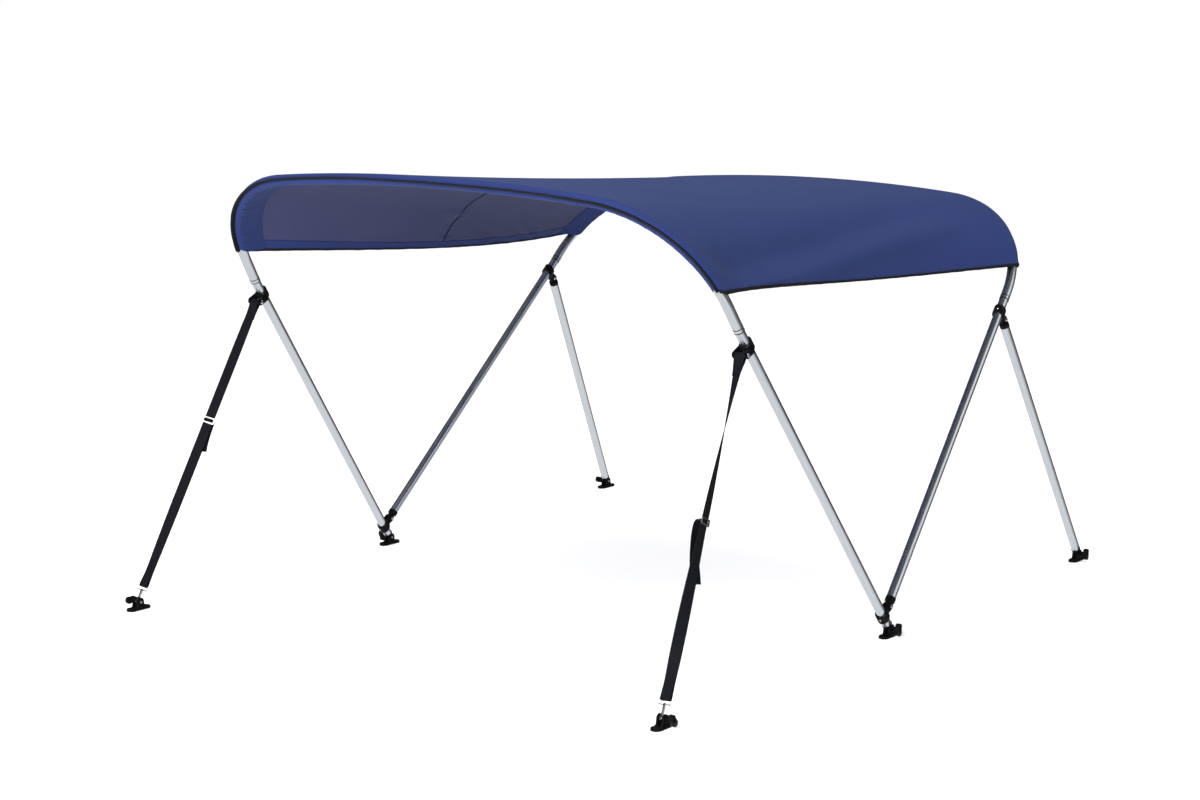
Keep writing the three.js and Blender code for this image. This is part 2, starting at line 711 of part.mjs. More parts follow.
// How far the webbing is turned about its own line at a distance down it.
function strapTurn(strap, at) {
  const rows = strap.turns;
  const next = rows.find((row) => row.at > at) ?? rows.at(-1);
  const last = rows.findLast((row) => row.at <= at) ?? rows[0];
  const share = next === last ? 0 : (at - last.at) / (next.at - last.at);
  return THREE.MathUtils.degToRad(THREE.MathUtils.lerp(last.turn, next.turn, share));
}

const LAYER = WEBBING_THICK + 0.4;
const FRAME_FRONT = WEBBING_THICK / 2 + GAP + SLIDER_BAR / 2;
const REAR_BAR = LAYER + WEBBING_THICK / 2 + 2 * GAP + SLIDER_BAR / 2 + 0.2;

// The webbing's run as places down the strap and ahead of its line, from its sewn end around the
// bolt, down to the hook's loop, back up behind itself and around the slider's rear bar.
function strapRun(length, sliderAt) {
  const run = [[STITCHED_LENGTH, -LAYER], [34, -LAYER], [20, -2.9], [9, -4.6]];
  const boltTurn = PIN_R + GAP + WEBBING_THICK / 2 + 1.2;
  for (let k = 0; k <= 6; k += 1) {
    const a = (Math.PI * k) / 6;
    run.push([-boltTurn * Math.sin(a), -boltTurn * Math.cos(a)]);
  }
  run.push([12, 3.6], [26, 1.4], [40, 0.2]);
  const steps = 7;
  for (let k = 0; k <= steps; k += 1) run.push([60 + ((sliderAt - 80) * k) / steps, 0]);
  run.push([sliderAt, 0]);
  for (let k = 0; k <= steps; k += 1) {
    run.push([sliderAt + 20 + ((length - sliderAt - 60) * k) / steps, 0]);
  }
  const loopTurn = LOOP_WIRE / 2 + GAP + WEBBING_THICK / 2 + 0.8;
  run.push([length - 14, 2.2]);
  for (let k = 0; k <= 6; k += 1) {
    const a = (Math.PI * k) / 6;
    run.push([length + loopTurn * Math.sin(a), loopTurn * Math.cos(a)]);
  }
  run.push([length - 14, -2.9], [length - 40, -LAYER]);
  for (let k = 1; k <= steps; k += 1) {
    run.push([length - 40 - ((length - sliderAt - 60) * k) / steps, -LAYER]);
  }
  const barTurn = REAR_BAR - LAYER;
  for (let k = 0; k <= 4; k += 1) {
    const a = (Math.PI * k) / 4;
    run.push([sliderAt - barTurn * Math.sin(a), -REAR_BAR + barTurn * Math.cos(a)]);
  }
  return run;
}

// The whole webbing: each place of the run as a thin section, then the tail that hangs free.
function webbing(strap, frame) {
  const station = (at, ahead, turn, aside = 0) => {
    const across = frame.across.clone().applyAxisAngle(frame.down, turn);
    const point = frame.bolt.clone()
      .addScaledVector(frame.down, at)
      .addScaledVector(frame.front.clone().applyAxisAngle(frame.down, turn), -strap.tailFace * ahead)
      .addScaledVector(across, aside);
    return { point, across };
  };
  const stations = [
    ...strapRun(frame.length, strap.sliderAt).map(([at, ahead]) => station(at, ahead, strapTurn(strap, at))),
    ...strap.tail.map(({ down, out, aside, turn }) => (
      station(strap.sliderAt + down, -out, THREE.MathUtils.degToRad(turn), aside))),
  ];
  return loft(stations.map(({ point, across }, k) => {
    const before = stations[Math.max(k - 1, 0)].point;
    const after = stations[Math.min(k + 1, stations.length - 1)].point;
    const along = after.clone().sub(before).normalize();
    const face = along.clone().cross(across).normalize();
    const wide = face.clone().cross(along).normalize();
    const half = WEBBING_WIDTH / 2;
    return [[-half, 0.5], [half, 0.5], [half, -0.5], [-half, -0.5]].map(([w, n]) => point
      .clone()
      .addScaledVector(wide, w)
      .addScaledVector(face, n * WEBBING_THICK));
  }));
}

const bimini = new THREE.Group();

function add(name, geometry, kind, parent = bimini) {
  const mesh = new THREE.Mesh(geometry, new THREE.MeshStandardMaterial(COLOURS[kind]));
  mesh.name = name;
  parent.add(mesh);
  return mesh;
}

// Turns a mesh to its own X, Y and Z directions at a place.
function put(mesh, origin, xAxis, yAxis, zAxis) {
  mesh.position.copy(origin);
  mesh.quaternion.setFromRotationMatrix(new THREE.Matrix4().makeBasis(xAxis, yAxis, zAxis));
  return mesh;
}

// A right-hand vector as it is on the given side.
function onSide(side, v) {
  return new THREE.Vector3(side * v.x, v.y, v.z);
}

add('canopy_cloth', canopy(), 'canopy');
['front', 'rear'].forEach((name) => {
  add(`${name}_pocket`, pocket(name), 'pocket');
  add(`${name}_piping`, piping(name), 'edging');
  add(`${name}_arch`, archTube(name === 'front' ? FRONT : REAR), 'tube');
});

[{ name: 'left', side: -1 }, { name: 'right', side: 1 }].forEach(({ name, side }) => {
  add(`${name}_binding`, binding(side), 'edging');

  const mainPin = new THREE.Vector3(side * HALF_BEAM, MAIN_MOUNT_Y, PIN_HEIGHT);
  const main = legFrame(mainPin, onSide(side, FRONT.ring));
  const rearPin = mainPin.clone()
    .addScaledVector(main.along, LOW_JAW_AT)
    .addScaledVector(main.back, LOW_LUG_REACH);
  const rear = legFrame(rearPin, onSide(side, REAR.ring));
  const strapBolt = main.pin.clone()
    .addScaledVector(main.along, STRAP_JAW_AT)
    .addScaledVector(main.back, -LUG_REACH);
  const poleBolt = rear.pin.clone()
    .addScaledVector(rear.along, POLE_JAW_AT)
    .addScaledVector(rear.back, LUG_REACH);
  const polePin = new THREE.Vector3(side * HALF_BEAM, POLE_MOUNT_Y, PIN_HEIGHT);
  const strapPin = new THREE.Vector3(side * HALF_BEAM, STRAP_MOUNT_Y, PIN_HEIGHT);
  const pole = legFrame(polePin, poleBolt);

  const legs = [['main', main, FOOT_CAP_TO], ['rear', rear, JAW_CAP_TO]];
  legs.forEach(([leg, frame, capTo]) => {
    const end = frame.pin.distanceTo(frame.ring) - JOINT_GAP;
    add(`${name}_${leg}_leg`, straightTube(frame, capTo + GAP, end), 'tube');
  });
  const poleEnd = pole.pin.distanceTo(poleBolt) - JAW_CAP_TO - GAP;
  add(`${name}_pole`, straightTube(pole, FOOT_CAP_TO + GAP, poleEnd), 'tube');

  const fitEye = (label, pin, axis, along, capTo) => {
    add(`${name}_${label}_eye`, eyeEnd(axis, along, capTo), 'fitting').position.copy(pin);
  };
  fitEye('main', main.pin, X, main.along, FOOT_CAP_TO);
  fitEye('rear', rear.pin, main.across, rear.along, JAW_CAP_TO);
  fitEye('pole_foot', pole.pin, X, pole.along, FOOT_CAP_TO);
  fitEye('pole_top', poleBolt, rear.across, pole.along.clone().negate(), JAW_CAP_TO);

  const fitJaw = (label, frame, at, gap, reach, toward, lean) => {
    const centre = frame.pin.clone().addScaledVector(frame.along, at);
    const lugs = frame.back.clone().multiplyScalar(toward);
    const across = lugs.clone().cross(frame.along);
    put(add(`${name}_${label}_jaw`, jaw(gap, reach, lean), 'fitting'), centre, across, lugs, frame.along);
    const bolt = centre.addScaledVector(lugs, reach);
    put(add(`${name}_${label}_bolt`, jawBolt(gap), 'bright'), bolt, across, lugs, frame.along);
  };
  fitJaw('low', main, LOW_JAW_AT, EYE_LUG_GAP, LOW_LUG_REACH, 1, -1);
  fitJaw('strap', main, STRAP_JAW_AT, STRAP_LUG_GAP, LUG_REACH, -1, 1);
  fitJaw('pole', rear, POLE_JAW_AT, EYE_LUG_GAP, LUG_REACH, 1, 1);

  const turns = KNOB_TURNS.find((row) => row.side === name);
  const outward = X.clone().multiplyScalar(side);
  [['strap', strapPin], ['main', mainPin], ['pole', polePin]].forEach(([label, pin]) => {
    add(`${name}_${label}_hinge`, deckHinge(), 'fitting').position.set(pin.x, pin.y, 0);
    put(add(`${name}_${label}_pin`, hingePin(), 'bright'), pin, outward, Y.clone().multiplyScalar(side), UP);
    const turn = THREE.MathUtils.degToRad(turns[label]);
    const longWay = Y.clone().applyAxisAngle(X, turn);
    put(add(`${name}_${label}_knob`, knob(), 'fitting'), pin, outward, longWay, outward.clone().cross(longWay));
  });

  const strap = STRAPS[name];
  const hookPin = strapPin.clone().addScaledVector(X, HOOK_ASIDE);
  const frame = strapFrame(strapBolt, hookPin);
  add(`${name}_strap`, webbing(strap, frame), 'webbing');
  const up = frame.down.clone().negate();
  put(add(`${name}_strap_hook`, strapHook(), 'bright'), hookPin, frame.across, up.clone().cross(frame.across), up);
  const turn = strapTurn(strap, strap.sliderAt) + (strap.tailFace > 0 ? Math.PI : 0);
  const across = frame.across.clone().applyAxisAngle(frame.down, turn);
  const back = up.clone().cross(across);
  const at = frame.bolt.clone().addScaledVector(frame.down, strap.sliderAt);
  put(add(`${name}_slider`, slider(-FRAME_FRONT, REAR_BAR), strap.finish), at, across, back, up);
});

export default bimini;
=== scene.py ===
import math

import bmesh
import bpy
import numpy as np
from mathutils import Matrix, Vector


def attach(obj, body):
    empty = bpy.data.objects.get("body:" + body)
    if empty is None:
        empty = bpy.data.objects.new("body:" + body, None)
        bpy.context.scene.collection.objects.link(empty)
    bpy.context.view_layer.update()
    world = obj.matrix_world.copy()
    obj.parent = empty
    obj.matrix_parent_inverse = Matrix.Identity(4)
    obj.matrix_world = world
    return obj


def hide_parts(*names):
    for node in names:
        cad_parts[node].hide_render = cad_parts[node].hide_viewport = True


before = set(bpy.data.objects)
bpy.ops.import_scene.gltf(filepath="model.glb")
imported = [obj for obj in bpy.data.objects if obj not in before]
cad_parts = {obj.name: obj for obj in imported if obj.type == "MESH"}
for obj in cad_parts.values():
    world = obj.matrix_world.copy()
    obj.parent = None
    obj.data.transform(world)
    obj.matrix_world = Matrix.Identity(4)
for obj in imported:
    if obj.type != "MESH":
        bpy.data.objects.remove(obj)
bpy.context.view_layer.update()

bl_info = {
    "name": "Bimini top",
    "version": (1, 0, 0),
    "blender": (4, 5, 0),
    "location": "View3D > Sidebar > Bimini",
    "description": "Dresses a two-bow bimini top: cloth, edging, tubes, nylon fittings and straps",
    "category": "Object",
}

# One millimetre in the scene's metres.
MM = 0.001

# The deck mounts: their places along the boat, half the beam between them, and their pins' height.
SIDES = (("left", -1), ("right", 1))
MOUNT_Y = {"strap": -0.916, "main": -0.036, "pole": 0.916}
HALF_BEAM = 0.76
PIN_HEIGHT = 0.019

# Each bow's arch: the ring where it joins its legs, its rake and lean, the straight stretch, the
# radii of bend and crown, and the height above the ring at which the canopy's side edge lies.
BOWS = {
    "front": dict(ring=(0.6993, -0.571, 0.7508), rake=math.atan(-0.6371), lean=math.radians(5.08),
                  straight=0.0615, bend=0.278, crown=4.43, edge_above=0.091),
    "rear": dict(ring=(0.6967, 0.5906, 0.7028), rake=math.atan(0.9288), lean=math.radians(2.65),
                 straight=0.0194, bend=0.301, crown=3.935, edge_above=0.097),
}

# The share of the way from the crown's middle to the side edge at which a bow's bend begins.
BEND_SHARE = 0.57

# How far the stretched cloth dips between the bows, on the crown and at its side edges, how far it
# hangs lower on the left, how far each side edge is drawn up, and how much the corners are trimmed.
CROWN_SAG, EDGE_SAG = 0.0103, 0.0753
EDGE_HANG = 0.0072
EDGE_RISE = {-1: 0.0186, 1: 0.0239}
CORNER_TRIM = 0.016

# The cloth's ease around a bow, its distance from the side edge inside the binding, the binding's
# own width, the turn that cloth and pocket leave free on each side of the piping, and the turn at
# which a pocket leaves its bow.
SLEEVE_EASE = 0.0006
EDGE_INSET = 0.009
BINDING_WIDTH = 0.008
PIPING_ROOM = math.radians(9)
POCKET_LEAVE = math.radians(190)

# Where the piping stands around its sleeve, in degrees from the top toward the outside: for the
# front bow at shares of the way to the side edge, left to right.
REAR_PIPING_TURN = 92
PIPING_TURNS = ((-0.98, 110), (-0.9, 103), (-0.8, 97), (-0.62, 94), (-0.5, 83), (-0.3, 82),
                (-0.1, 90), (0.1, 94), (0.4, 90), (0.6, 96), (0.73, 84), (0.8, 77), (0.9, 71),
                (0.97, 70))

# The soft ridge that runs back from the front right corner: shares of the way to the side edge, at
# shares of the way from the front bow to the rear one. Then its swell and the hollow beside it, as
# height, distance from its line and width.
RIDGE = ((0.03, 0.99), (0.18, 0.955), (0.35, 0.89), (0.59, 0.785), (0.74, 0.74), (0.92, 0.72))
RIDGE_SWELLS = ((0.0095, 0.045, 0.045), (-0.0135, -0.06, 0.06))

# The soft cushion on the left crest and the pucker beside it at the cross seam, as height, place
# across and back, and spread across and back; and the front right corner's two gathers, as depth,
# place back and place across, with their spread back and across.
HUMPS = ((0.005, (-0.745, 0.34), (0.06, 0.13)), (-0.006, (-0.775, 0.495), (0.03, 0.024)))
GATHERS = ((0.0016, 0.03, 0.955), (0.0011, 0.026, 0.925))
GATHER_SPREAD = (0.014, 0.012)

# The cross seam, in shares of the way from the front bow to the rear one: its stitch rows, whose
# heavy black thread also paints the shadow line of the seam's fold, and the middle and half width of
# the uncoated strip that it shows on the inside, whose darker face cloth is partly the seam's own
# face side and partly a painted shadow line.
CROSS_SEAM_ROWS = (0.4989, 0.5011)
SEAM_FACE_AND_SHADE_STRIP, SEAM_FACE_AND_SHADE_HALF = 0.499, 0.0022

# The slides' places up the legs, and how far their lugs reach.
LOW_JAW_AT, STRAP_JAW_AT, POLE_JAW_AT = 0.043, 0.867, 0.853
LUG_REACH, LOW_LUG_REACH = 0.027, 0.0295

# Fittings, in millimetres: pins and bolts and the holes they pass, the eye ends with their collars
# at a foot and at a jaw, the lugs and the room between them, and the play that tubes keep.
PIN_R, HOLE_R = 3, 3.45
EYE_R, EYE_THICK = 8, 8
COLLAR_R, COLLAR_FROM = 12, 11.2
FOOT_COLLAR_TO, JAW_COLLAR_TO = 15, 21.5
LUG_THICK, EYE_GAP, STRAP_GAP = 4, 10, 27.8
COLLAR_PLAY, JOINT_GAP = 0.3, 0.8

# The hook's loop: how far its wire's far side is from the hinge pin, and the wire's radius.
LOOP_AT, WIRE_R = 39, 1.3

# Straps: place of the slider, the face that the tail is on, the webbing's turn about its line at
# distances down from the bolt, and the tail's run from the slider, in millimetres and degrees.
STRAPS = {
    "left": dict(
        slider=309, face=-1,
        turns=((0, 0), (60, -14), (150, -22), (520, -22), (700, 0)),
        tail=((4, 9.4, 0, -22), (14, 9, 0.5, -22), (32, 8, 2, -22), (54, 8.5, 4, -22),
              (75, 10, 7, -20))),
    "right": dict(
        slider=360, face=1,
        turns=((10, 0), (40, 20), (90, 38), (200, 66), (320, 88), (390, 88), (500, 112),
               (600, 142), (700, 180)),
        tail=((-1, 11.5, 0, 88), (2.5, 15, 0, 88), (11, 17, 0, 89), (30, 16.5, 0, 93),
              (54, 13.5, -1, 98), (78, 11, -4, 106), (102, 9.5, -9, 114), (127, 9.5, -15, 120))),
}

# How far each thumb knob is turned at rest, in degrees.
KNOB_TURNS = {
    "left": dict(strap=0, main=-70, pole=-15),
    "right": dict(strap=-53, main=90, pole=90),
}


class BiminiSizes(bpy.types.PropertyGroup):
    """Sizes that a maker would change."""

    cloth_thick: bpy.props.FloatProperty(
        name="Cloth", description="Thickness of the canopy cloth", default=0.0009, unit="LENGTH")
    hem_width: bpy.props.FloatProperty(
        name="Hem", description="Width of the hem along each side edge", default=0.037,
        unit="LENGTH")
    pocket_width: bpy.props.FloatProperty(
        name="Sleeve pocket", description="From the bow's centre to the pocket's seam at the sides",
        default=0.086, unit="LENGTH")
    pocket_crown: bpy.props.FloatProperty(
        name="Pocket at the crown", description="How much wider the pocket is on the crown",
        default=0.026, unit="LENGTH")
    leg_radius: bpy.props.FloatProperty(
        name="Leg radius", description="Outside radius of legs and poles", default=0.0111,
        unit="LENGTH")
    arch_radius: bpy.props.FloatProperty(
        name="Arch radius", description="Outside radius of the arch tubes", default=0.0118,
        unit="LENGTH")
    tube_sides: bpy.props.IntProperty(
        name="Tube sides", description="Faces around each tube", default=40, min=12, max=96)
    webbing_width: bpy.props.FloatProperty(
        name="Webbing", description="Width of the strap webbing", default=0.0254, unit="LENGTH")
    webbing_thick: bpy.props.FloatProperty(
        name="Webbing thickness", description="Thickness of the webbing", default=0.0015,
        unit="LENGTH")
    stitch_pitch: bpy.props.FloatProperty(
        name="Stitch pitch", description="Distance between stitches", default=0.0042,
        unit="LENGTH")


def colour(name, description, default):
    """A colour that a user can change."""
    return bpy.props.FloatVectorProperty(
        name=name, description=description, default=default, size=3, subtype="COLOR",
        min=0.0, max=1.0)


class BiminiColours(bpy.types.PropertyGroup):
    """Colours of the finishes."""

    cloth: colour("Cloth", "Face side of the canopy polyester", (0.0138, 0.023, 0.093))
    lining: colour("Coating", "Coated underside of the polyester", (0.033, 0.0355, 0.083))
    edging: colour("Edging", "Piping and side binding", (0.009, 0.009, 0.01))
    webbing: colour("Webbing", "Strap webbing", (0.0045, 0.0048, 0.0066))
    tube: colour("Tube", "Anodised aluminium", (0.69, 0.73, 0.78))
    nylon: colour("Nylon", "Moulded fittings", (0.0028, 0.0028, 0.0032))
    bright: colour("Bright steel", "Polished stainless steel", (0.64, 0.65, 0.67))
    plated: colour("Nickel plate", "Left strap's slider", (0.6, 0.605, 0.62))
    dull: colour("Dull steel", "Right strap's slider", (0.16, 0.165, 0.175))
    blue_thread: colour("Blue thread", "Stitches of the sleeves and hems", (0.004, 0.006, 0.024))
    # Black thread: real stitches, made dark and heavy enough to paint the cross seam's shadow line
    # too.
    black_thread: colour("Black thread", "Stitches of the cross seam", (0.004, 0.004, 0.005))
    floor: colour("Floor", "Plain floor", (0.95, 0.95, 0.95))


def sizes():
    return bpy.context.scene.bimini_sizes


def colours():
    return bpy.context.scene.bimini_colours


# The shape of the cloth.


def unit(v):
    return v / np.linalg.norm(v, axis=-1, keepdims=True)


def dot(a, b):
    return np.sum(a * b, axis=-1, keepdims=True)


def run_lengths(points):
    """The length of a line of points up to each of them."""
    steps = np.linalg.norm(np.diff(points, axis=0), axis=1)
    return np.concatenate([[0], np.cumsum(steps)])


def stepped(places, counts):
    """Places from the first to the last, with each stretch in its own number of even steps."""
    runs = [np.linspace(start, end, count, endpoint=False)
            for start, end, count in zip(places, places[1:], counts)]
    return np.concatenate([*runs, places[-1:]])


def arch_outline(bow):
    """Centre of the bend, and the lengths from the crown's middle to each change of radius."""
    bend_x = bow["ring"][0] - math.tan(bow["lean"]) * bow["straight"] \
        - bow["bend"] * math.cos(bow["lean"])
    bend_s = bow["straight"] - bow["bend"] * math.sin(bow["lean"])
    meet = math.acos(bend_x / (bow["crown"] - bow["bend"]))
    crown_s = bend_s + (bow["bend"] - bow["crown"]) * math.sin(meet)
    crown = bow["crown"] * (math.pi / 2 - meet)
    bend = crown + bow["bend"] * (meet - bow["lean"])
    whole = bend + bow["straight"] / math.cos(bow["lean"])
    return bend_x, bend_s, meet, crown_s, crown, bend, whole


def arch_at(bow, length):
    """Points and directions of an arch at signed lengths from the crown's middle."""
    bend_x, bend_s, meet, crown_s, crown, bend, whole = arch_outline(bow)
    length = np.atleast_1d(np.asarray(length, float))
    far = np.abs(length)
    side = np.where(length < 0, -1.0, 1.0)
    on_crown, on_bend = far <= crown, far <= bend
    angle = np.where(on_crown, math.pi / 2 - far / bow["crown"],
                     np.where(on_bend, meet - (far - crown) / bow["bend"], bow["lean"]))
    left = whole - far
    x = np.where(on_crown, bow["crown"] * np.cos(angle),
                 np.where(on_bend, bend_x + bow["bend"] * np.cos(angle),
                          bow["ring"][0] - left * math.sin(bow["lean"])))
    s = np.where(on_crown, crown_s + bow["crown"] * np.sin(angle),
                 np.where(on_bend, bend_s + bow["bend"] * np.sin(angle),
                          left * math.cos(bow["lean"])))
    rise = np.array([0.0, math.sin(bow["rake"]), math.cos(bow["rake"])])
    ring = np.array(bow["ring"])
    point = np.stack([side * x, np.full_like(x, ring[1]), np.full_like(x, ring[2])], 1)
    point = point + s[:, None] * rise
    direction = np.stack([np.sin(angle), 0 * angle, 0 * angle], 1) \
        - (side * np.cos(angle))[:, None] * rise
    return point, unit(direction)


def edge_length(bow):
    """From the crown's middle to the side edge, along a bow."""
    return arch_outline(bow)[-1] - bow["edge_above"]


def crossing(share):
    """Both sleeves at shares of the way to the side edge: centre, top and outward directions."""
    front, front_dir = arch_at(BOWS["front"], share * edge_length(BOWS["front"]))
    rear, rear_dir = arch_at(BOWS["rear"], share * edge_length(BOWS["rear"]))
    back = unit(rear - front)
    ends = {}
    for name, centre, direction, toward in (
            ("front", front, front_dir, -1), ("rear", rear, rear_dir, 1)):
        along = unit(back - direction * dot(back, direction))
        ends[name] = (centre, unit(np.cross(direction, along)), along * toward)
    return ends


def on_sleeve(end, angle, radius):
    centre, top, out = end
    angle = np.asarray(angle, float).reshape(-1, 1)
    radius = np.asarray(radius, float).reshape(-1, 1)
    return centre + top * radius * np.cos(angle) + out * radius * np.sin(angle)


def smooth(value, low, high):
    t = np.clip((np.asarray(value, float) - low) / (high - low), 0, 1)
    return t * t * (3 - 2 * t)


def drawn_in(share):
    """How far the stretched cloth dips between the bows."""
    return CROWN_SAG + (EDGE_SAG - CROWN_SAG) * smooth(np.abs(share), 0.3, 1)


def leave_angle(share):
    """How far around a bow the cloth leaves it for the other bow."""
    ends = crossing(share)
    return np.arctan(4 * drawn_in(share)
                     / np.linalg.norm(ends["rear"][0] - ends["front"][0], axis=1))


def drawn_up(share, distance):
    """A share of the way to the side edge, moved up by a distance on the cloth's flanks."""
    flank = smooth(np.abs(share), BEND_SHARE, 1)
    hang = np.where(np.asarray(share) < 0, EDGE_HANG, 0.0)
    return share * (1 - (distance - hang) / edge_length(BOWS["front"]) * flank)


def cornered(share, angle):
    """A share of the way to the side edge, trimmed at the corners beyond a bow's top."""
    return drawn_up(share, CORNER_TRIM * np.sin(np.clip(angle, 0, math.pi / 2)))


def sleeve_radius():
    """From a bow's centre to the middle of the cloth around it."""
    return sizes().arch_radius + SLEEVE_EASE


def sleeve_reach(share, angle, name):
    """The sleeve's radius, which opens toward the rear right corner."""
    opening = 0.0045 if name == "rear" else 0.0
    return sleeve_radius() + opening * smooth(share, 0.955, 1) * smooth(angle, 0.2, 1.2) \
        * (1 - smooth(angle, 1.8, 2.7))


def piping_angle(share, name):
    """Where the piping stands around its sleeve, as an angle from the top toward the outside."""
    if name == "rear":
        return np.full(np.shape(share), math.radians(REAR_PIPING_TURN))
    places, turns = zip(*PIPING_TURNS)
    near = [np.interp(share + shift, places, turns) for shift in (-0.05, -0.025, 0, 0.025, 0.05)]
    return np.radians(np.mean(near, axis=0))


def cloth_edge():
    """Where the cloth ends inside its binding, as a share of the way to the side edge."""
    return 1 - EDGE_INSET / edge_length(BOWS["front"])


def edge_rise(place):
    """How far the side edge is drawn up in its middle, on the left and on the right."""
    return np.where(np.asarray(place) < 0, EDGE_RISE[-1], EDGE_RISE[1])


def on_span(place, t, lift):
    """Points of the cloth between the bows, lifted off its middle layer."""
    share = drawn_up(place, edge_rise(place) * 4 * t * (1 - t))
    ends = crossing(share)
    radius = sleeve_radius()
    leave = leave_angle(share)
    a = on_sleeve(ends["front"], -leave, radius)
    b = on_sleeve(ends["rear"], -leave, radius)
    t = np.broadcast_to(np.asarray(t, float), share.shape)[:, None]
    up = unit(ends["front"][1] * (1 - t) + ends["rear"][1] * t)
    back = unit(b - a)
    sag = drawn_in(share)[:, None] * 4 * t * (1 - t)
    tilt = leave[:, None] * (1 - 2 * t)
    return a * (1 - t) + b * t + up * (lift * np.cos(tilt) - sag) + back * lift * np.sin(tilt)


def seam_place(share, name):
    """Where a pocket is sewn to the canopy, as a share of the way from front to rear."""
    ends = crossing(share)
    span = np.linalg.norm(ends["rear"][0] - ends["front"][0], axis=1)
    width = sizes().pocket_width + sizes().pocket_crown * (1 - smooth(np.abs(share), 0.6, 0.78))
    reach = (width - sleeve_radius()) / span
    return reach if name == "front" else 1 - reach


def shares(crown_step, bend_step, extra=()):
    """Places across the boat from edge to edge, closer together in the bends."""
    length = edge_length(BOWS["front"])
    crown = np.linspace(0, BEND_SHARE, round(BEND_SHARE * length / crown_step), endpoint=False)
    bend = np.linspace(BEND_SHARE, 1, round((1 - BEND_SHARE) * length / bend_step))
    half = np.unique(np.concatenate([crown, bend, extra]))
    return np.concatenate([-half[:0:-1], half])


def normals_of(grid):
    """The directions in which the face side of a grid of points looks."""
    along = np.gradient(grid, axis=0)
    across = np.gradient(grid, axis=1)
    return unit(np.cross(across, along))


def ripple(u, seed):
    """A smooth uneven wave of about unit height."""
    rng = np.random.default_rng(seed)
    total = np.zeros_like(u)
    for k in range(5):
        total += np.sin(u * (0.7 + 0.28 * k) + rng.uniform(0, 2 * math.pi)) / (1 + 0.35 * k)
    return total / 2.6


def mound(u, v, middle, reach):
    """A round hump of unit height in two directions."""
    return np.exp(-((u - middle[0]) / reach[0]) ** 2 - ((v - middle[1]) / reach[1]) ** 2)


def ridge_height(s, t):
    """The ridge that tension draws from the front right corner, and the hollow beside it."""
    places, shares_of = zip(*RIDGE)
    off = (s - np.interp(t, places, shares_of)) * edge_length(BOWS["front"])
    tight = smooth(t, 0.01, 0.12) * smooth(1 - t, 0.04, 0.3)
    tight = tight * smooth(s, 0.3, 0.5) * smooth(1 - s, 0.0, 0.03)
    return tight * sum(height * np.exp(-((off - place) / width) ** 2)
                       for height, place, width in RIDGE_SWELLS)


def folds(s, t):
    """Heights of the canopy off its smooth stretched surface.

    s is the place across, as a share of the way to the side edge, and t the place back, as a share
    of the way from the front bow to the rear one.
    """
    span = np.clip(t, 0, 1)
    open_cloth = smooth(span, 0.0, 0.1) * smooth(1 - span, 0.0, 0.1)
    uneven = 0.0014 * ripple(7.0 * s + 2.0 * t, 3) * ripple(5.0 * t - 1.5 * s, 5)
    height = uneven * open_cloth + ridge_height(s, span)
    for deep, back, across in GATHERS:
        height = height - deep * smooth(t, 0, 0.016) * mound(t, s, (back, across), GATHER_SPREAD)
    for high, middle, reach in HUMPS:
        height = height + high * mound(s, t, middle, reach)
    edge = smooth(np.abs(s), 0.93, 0.98) * open_cloth
    drawn = smooth(-s, 0.84, 0.92) * (1 - smooth(-s, 0.975, 1))
    drawn = drawn * np.exp(-((t - 0.72) / 0.15) ** 2)
    crumpled = smooth(s, 0.72, 0.86) * smooth(t, 0.78, 0.9) * (1 - smooth(t, 0.96, 1.0))
    height = height + 0.0009 * ripple(t * 100, 23) * edge
    height = height + 0.0036 * ripple(t * 75 + s * 60, 29) * drawn
    return height + 0.0013 * ripple(t * 130 + s * 25, 47) * crumpled


def seam_swell(s, t):
    """Thickness that the joining seam and its puckers add on the inside."""
    high, overlap, reach = 0.0014, 0.0042, 0.02
    seam = np.exp(-((t - 0.5) / overlap) ** 4)
    along = s * edge_length(BOWS["front"]) * 190
    pucker = (1 + ripple(along, 11)) * np.exp(-((t - 0.5) / reach) ** 2)
    return high * seam + high * np.clip(pucker, 0, 2)


# Meshes.


def linked(name, mesh):
    """An object of a mesh, at the origin, in the scene."""
    obj = bpy.data.objects.new(name, mesh)
    bpy.context.scene.collection.objects.link(obj)
    return obj


def shade_smooth(mesh, sharp):
    """Smooth shading, but for edges sharper than an angle in degrees."""
    mesh.polygons.foreach_set("use_smooth", np.ones(len(mesh.polygons), bool))
    mesh.set_sharp_from_angle(angle=math.radians(sharp))


def mesh_object(name, points, faces, materials, uv=None, slots=None, sharp=35):
    """An object at the origin from points, faces and one UV pair for each point."""
    mesh = bpy.data.meshes.new(name)
    mesh.from_pydata([tuple(p) for p in np.asarray(points)], [], [tuple(f) for f in faces])
    for material in materials:
        mesh.materials.append(material)
    if slots is not None:
        mesh.polygons.foreach_set("material_index", np.asarray(slots, np.int32))
    if uv is not None:
        layer = mesh.uv_layers.new(name="UVMap")
        loops = np.zeros(len(mesh.loops), np.int32)
        mesh.loops.foreach_get("vertex_index", loops)
        layer.data.foreach_set("uv", np.asarray(uv, np.float32)[loops].ravel())
    shade_smooth(mesh, sharp)
    mesh.update()
    return linked(name, mesh)


def laid_out(grid, across):
    """Metres across a grid of points, as given, and down it, measured down its middle."""
    return np.meshgrid(across, run_lengths(grid[:, grid.shape[1] // 2]))


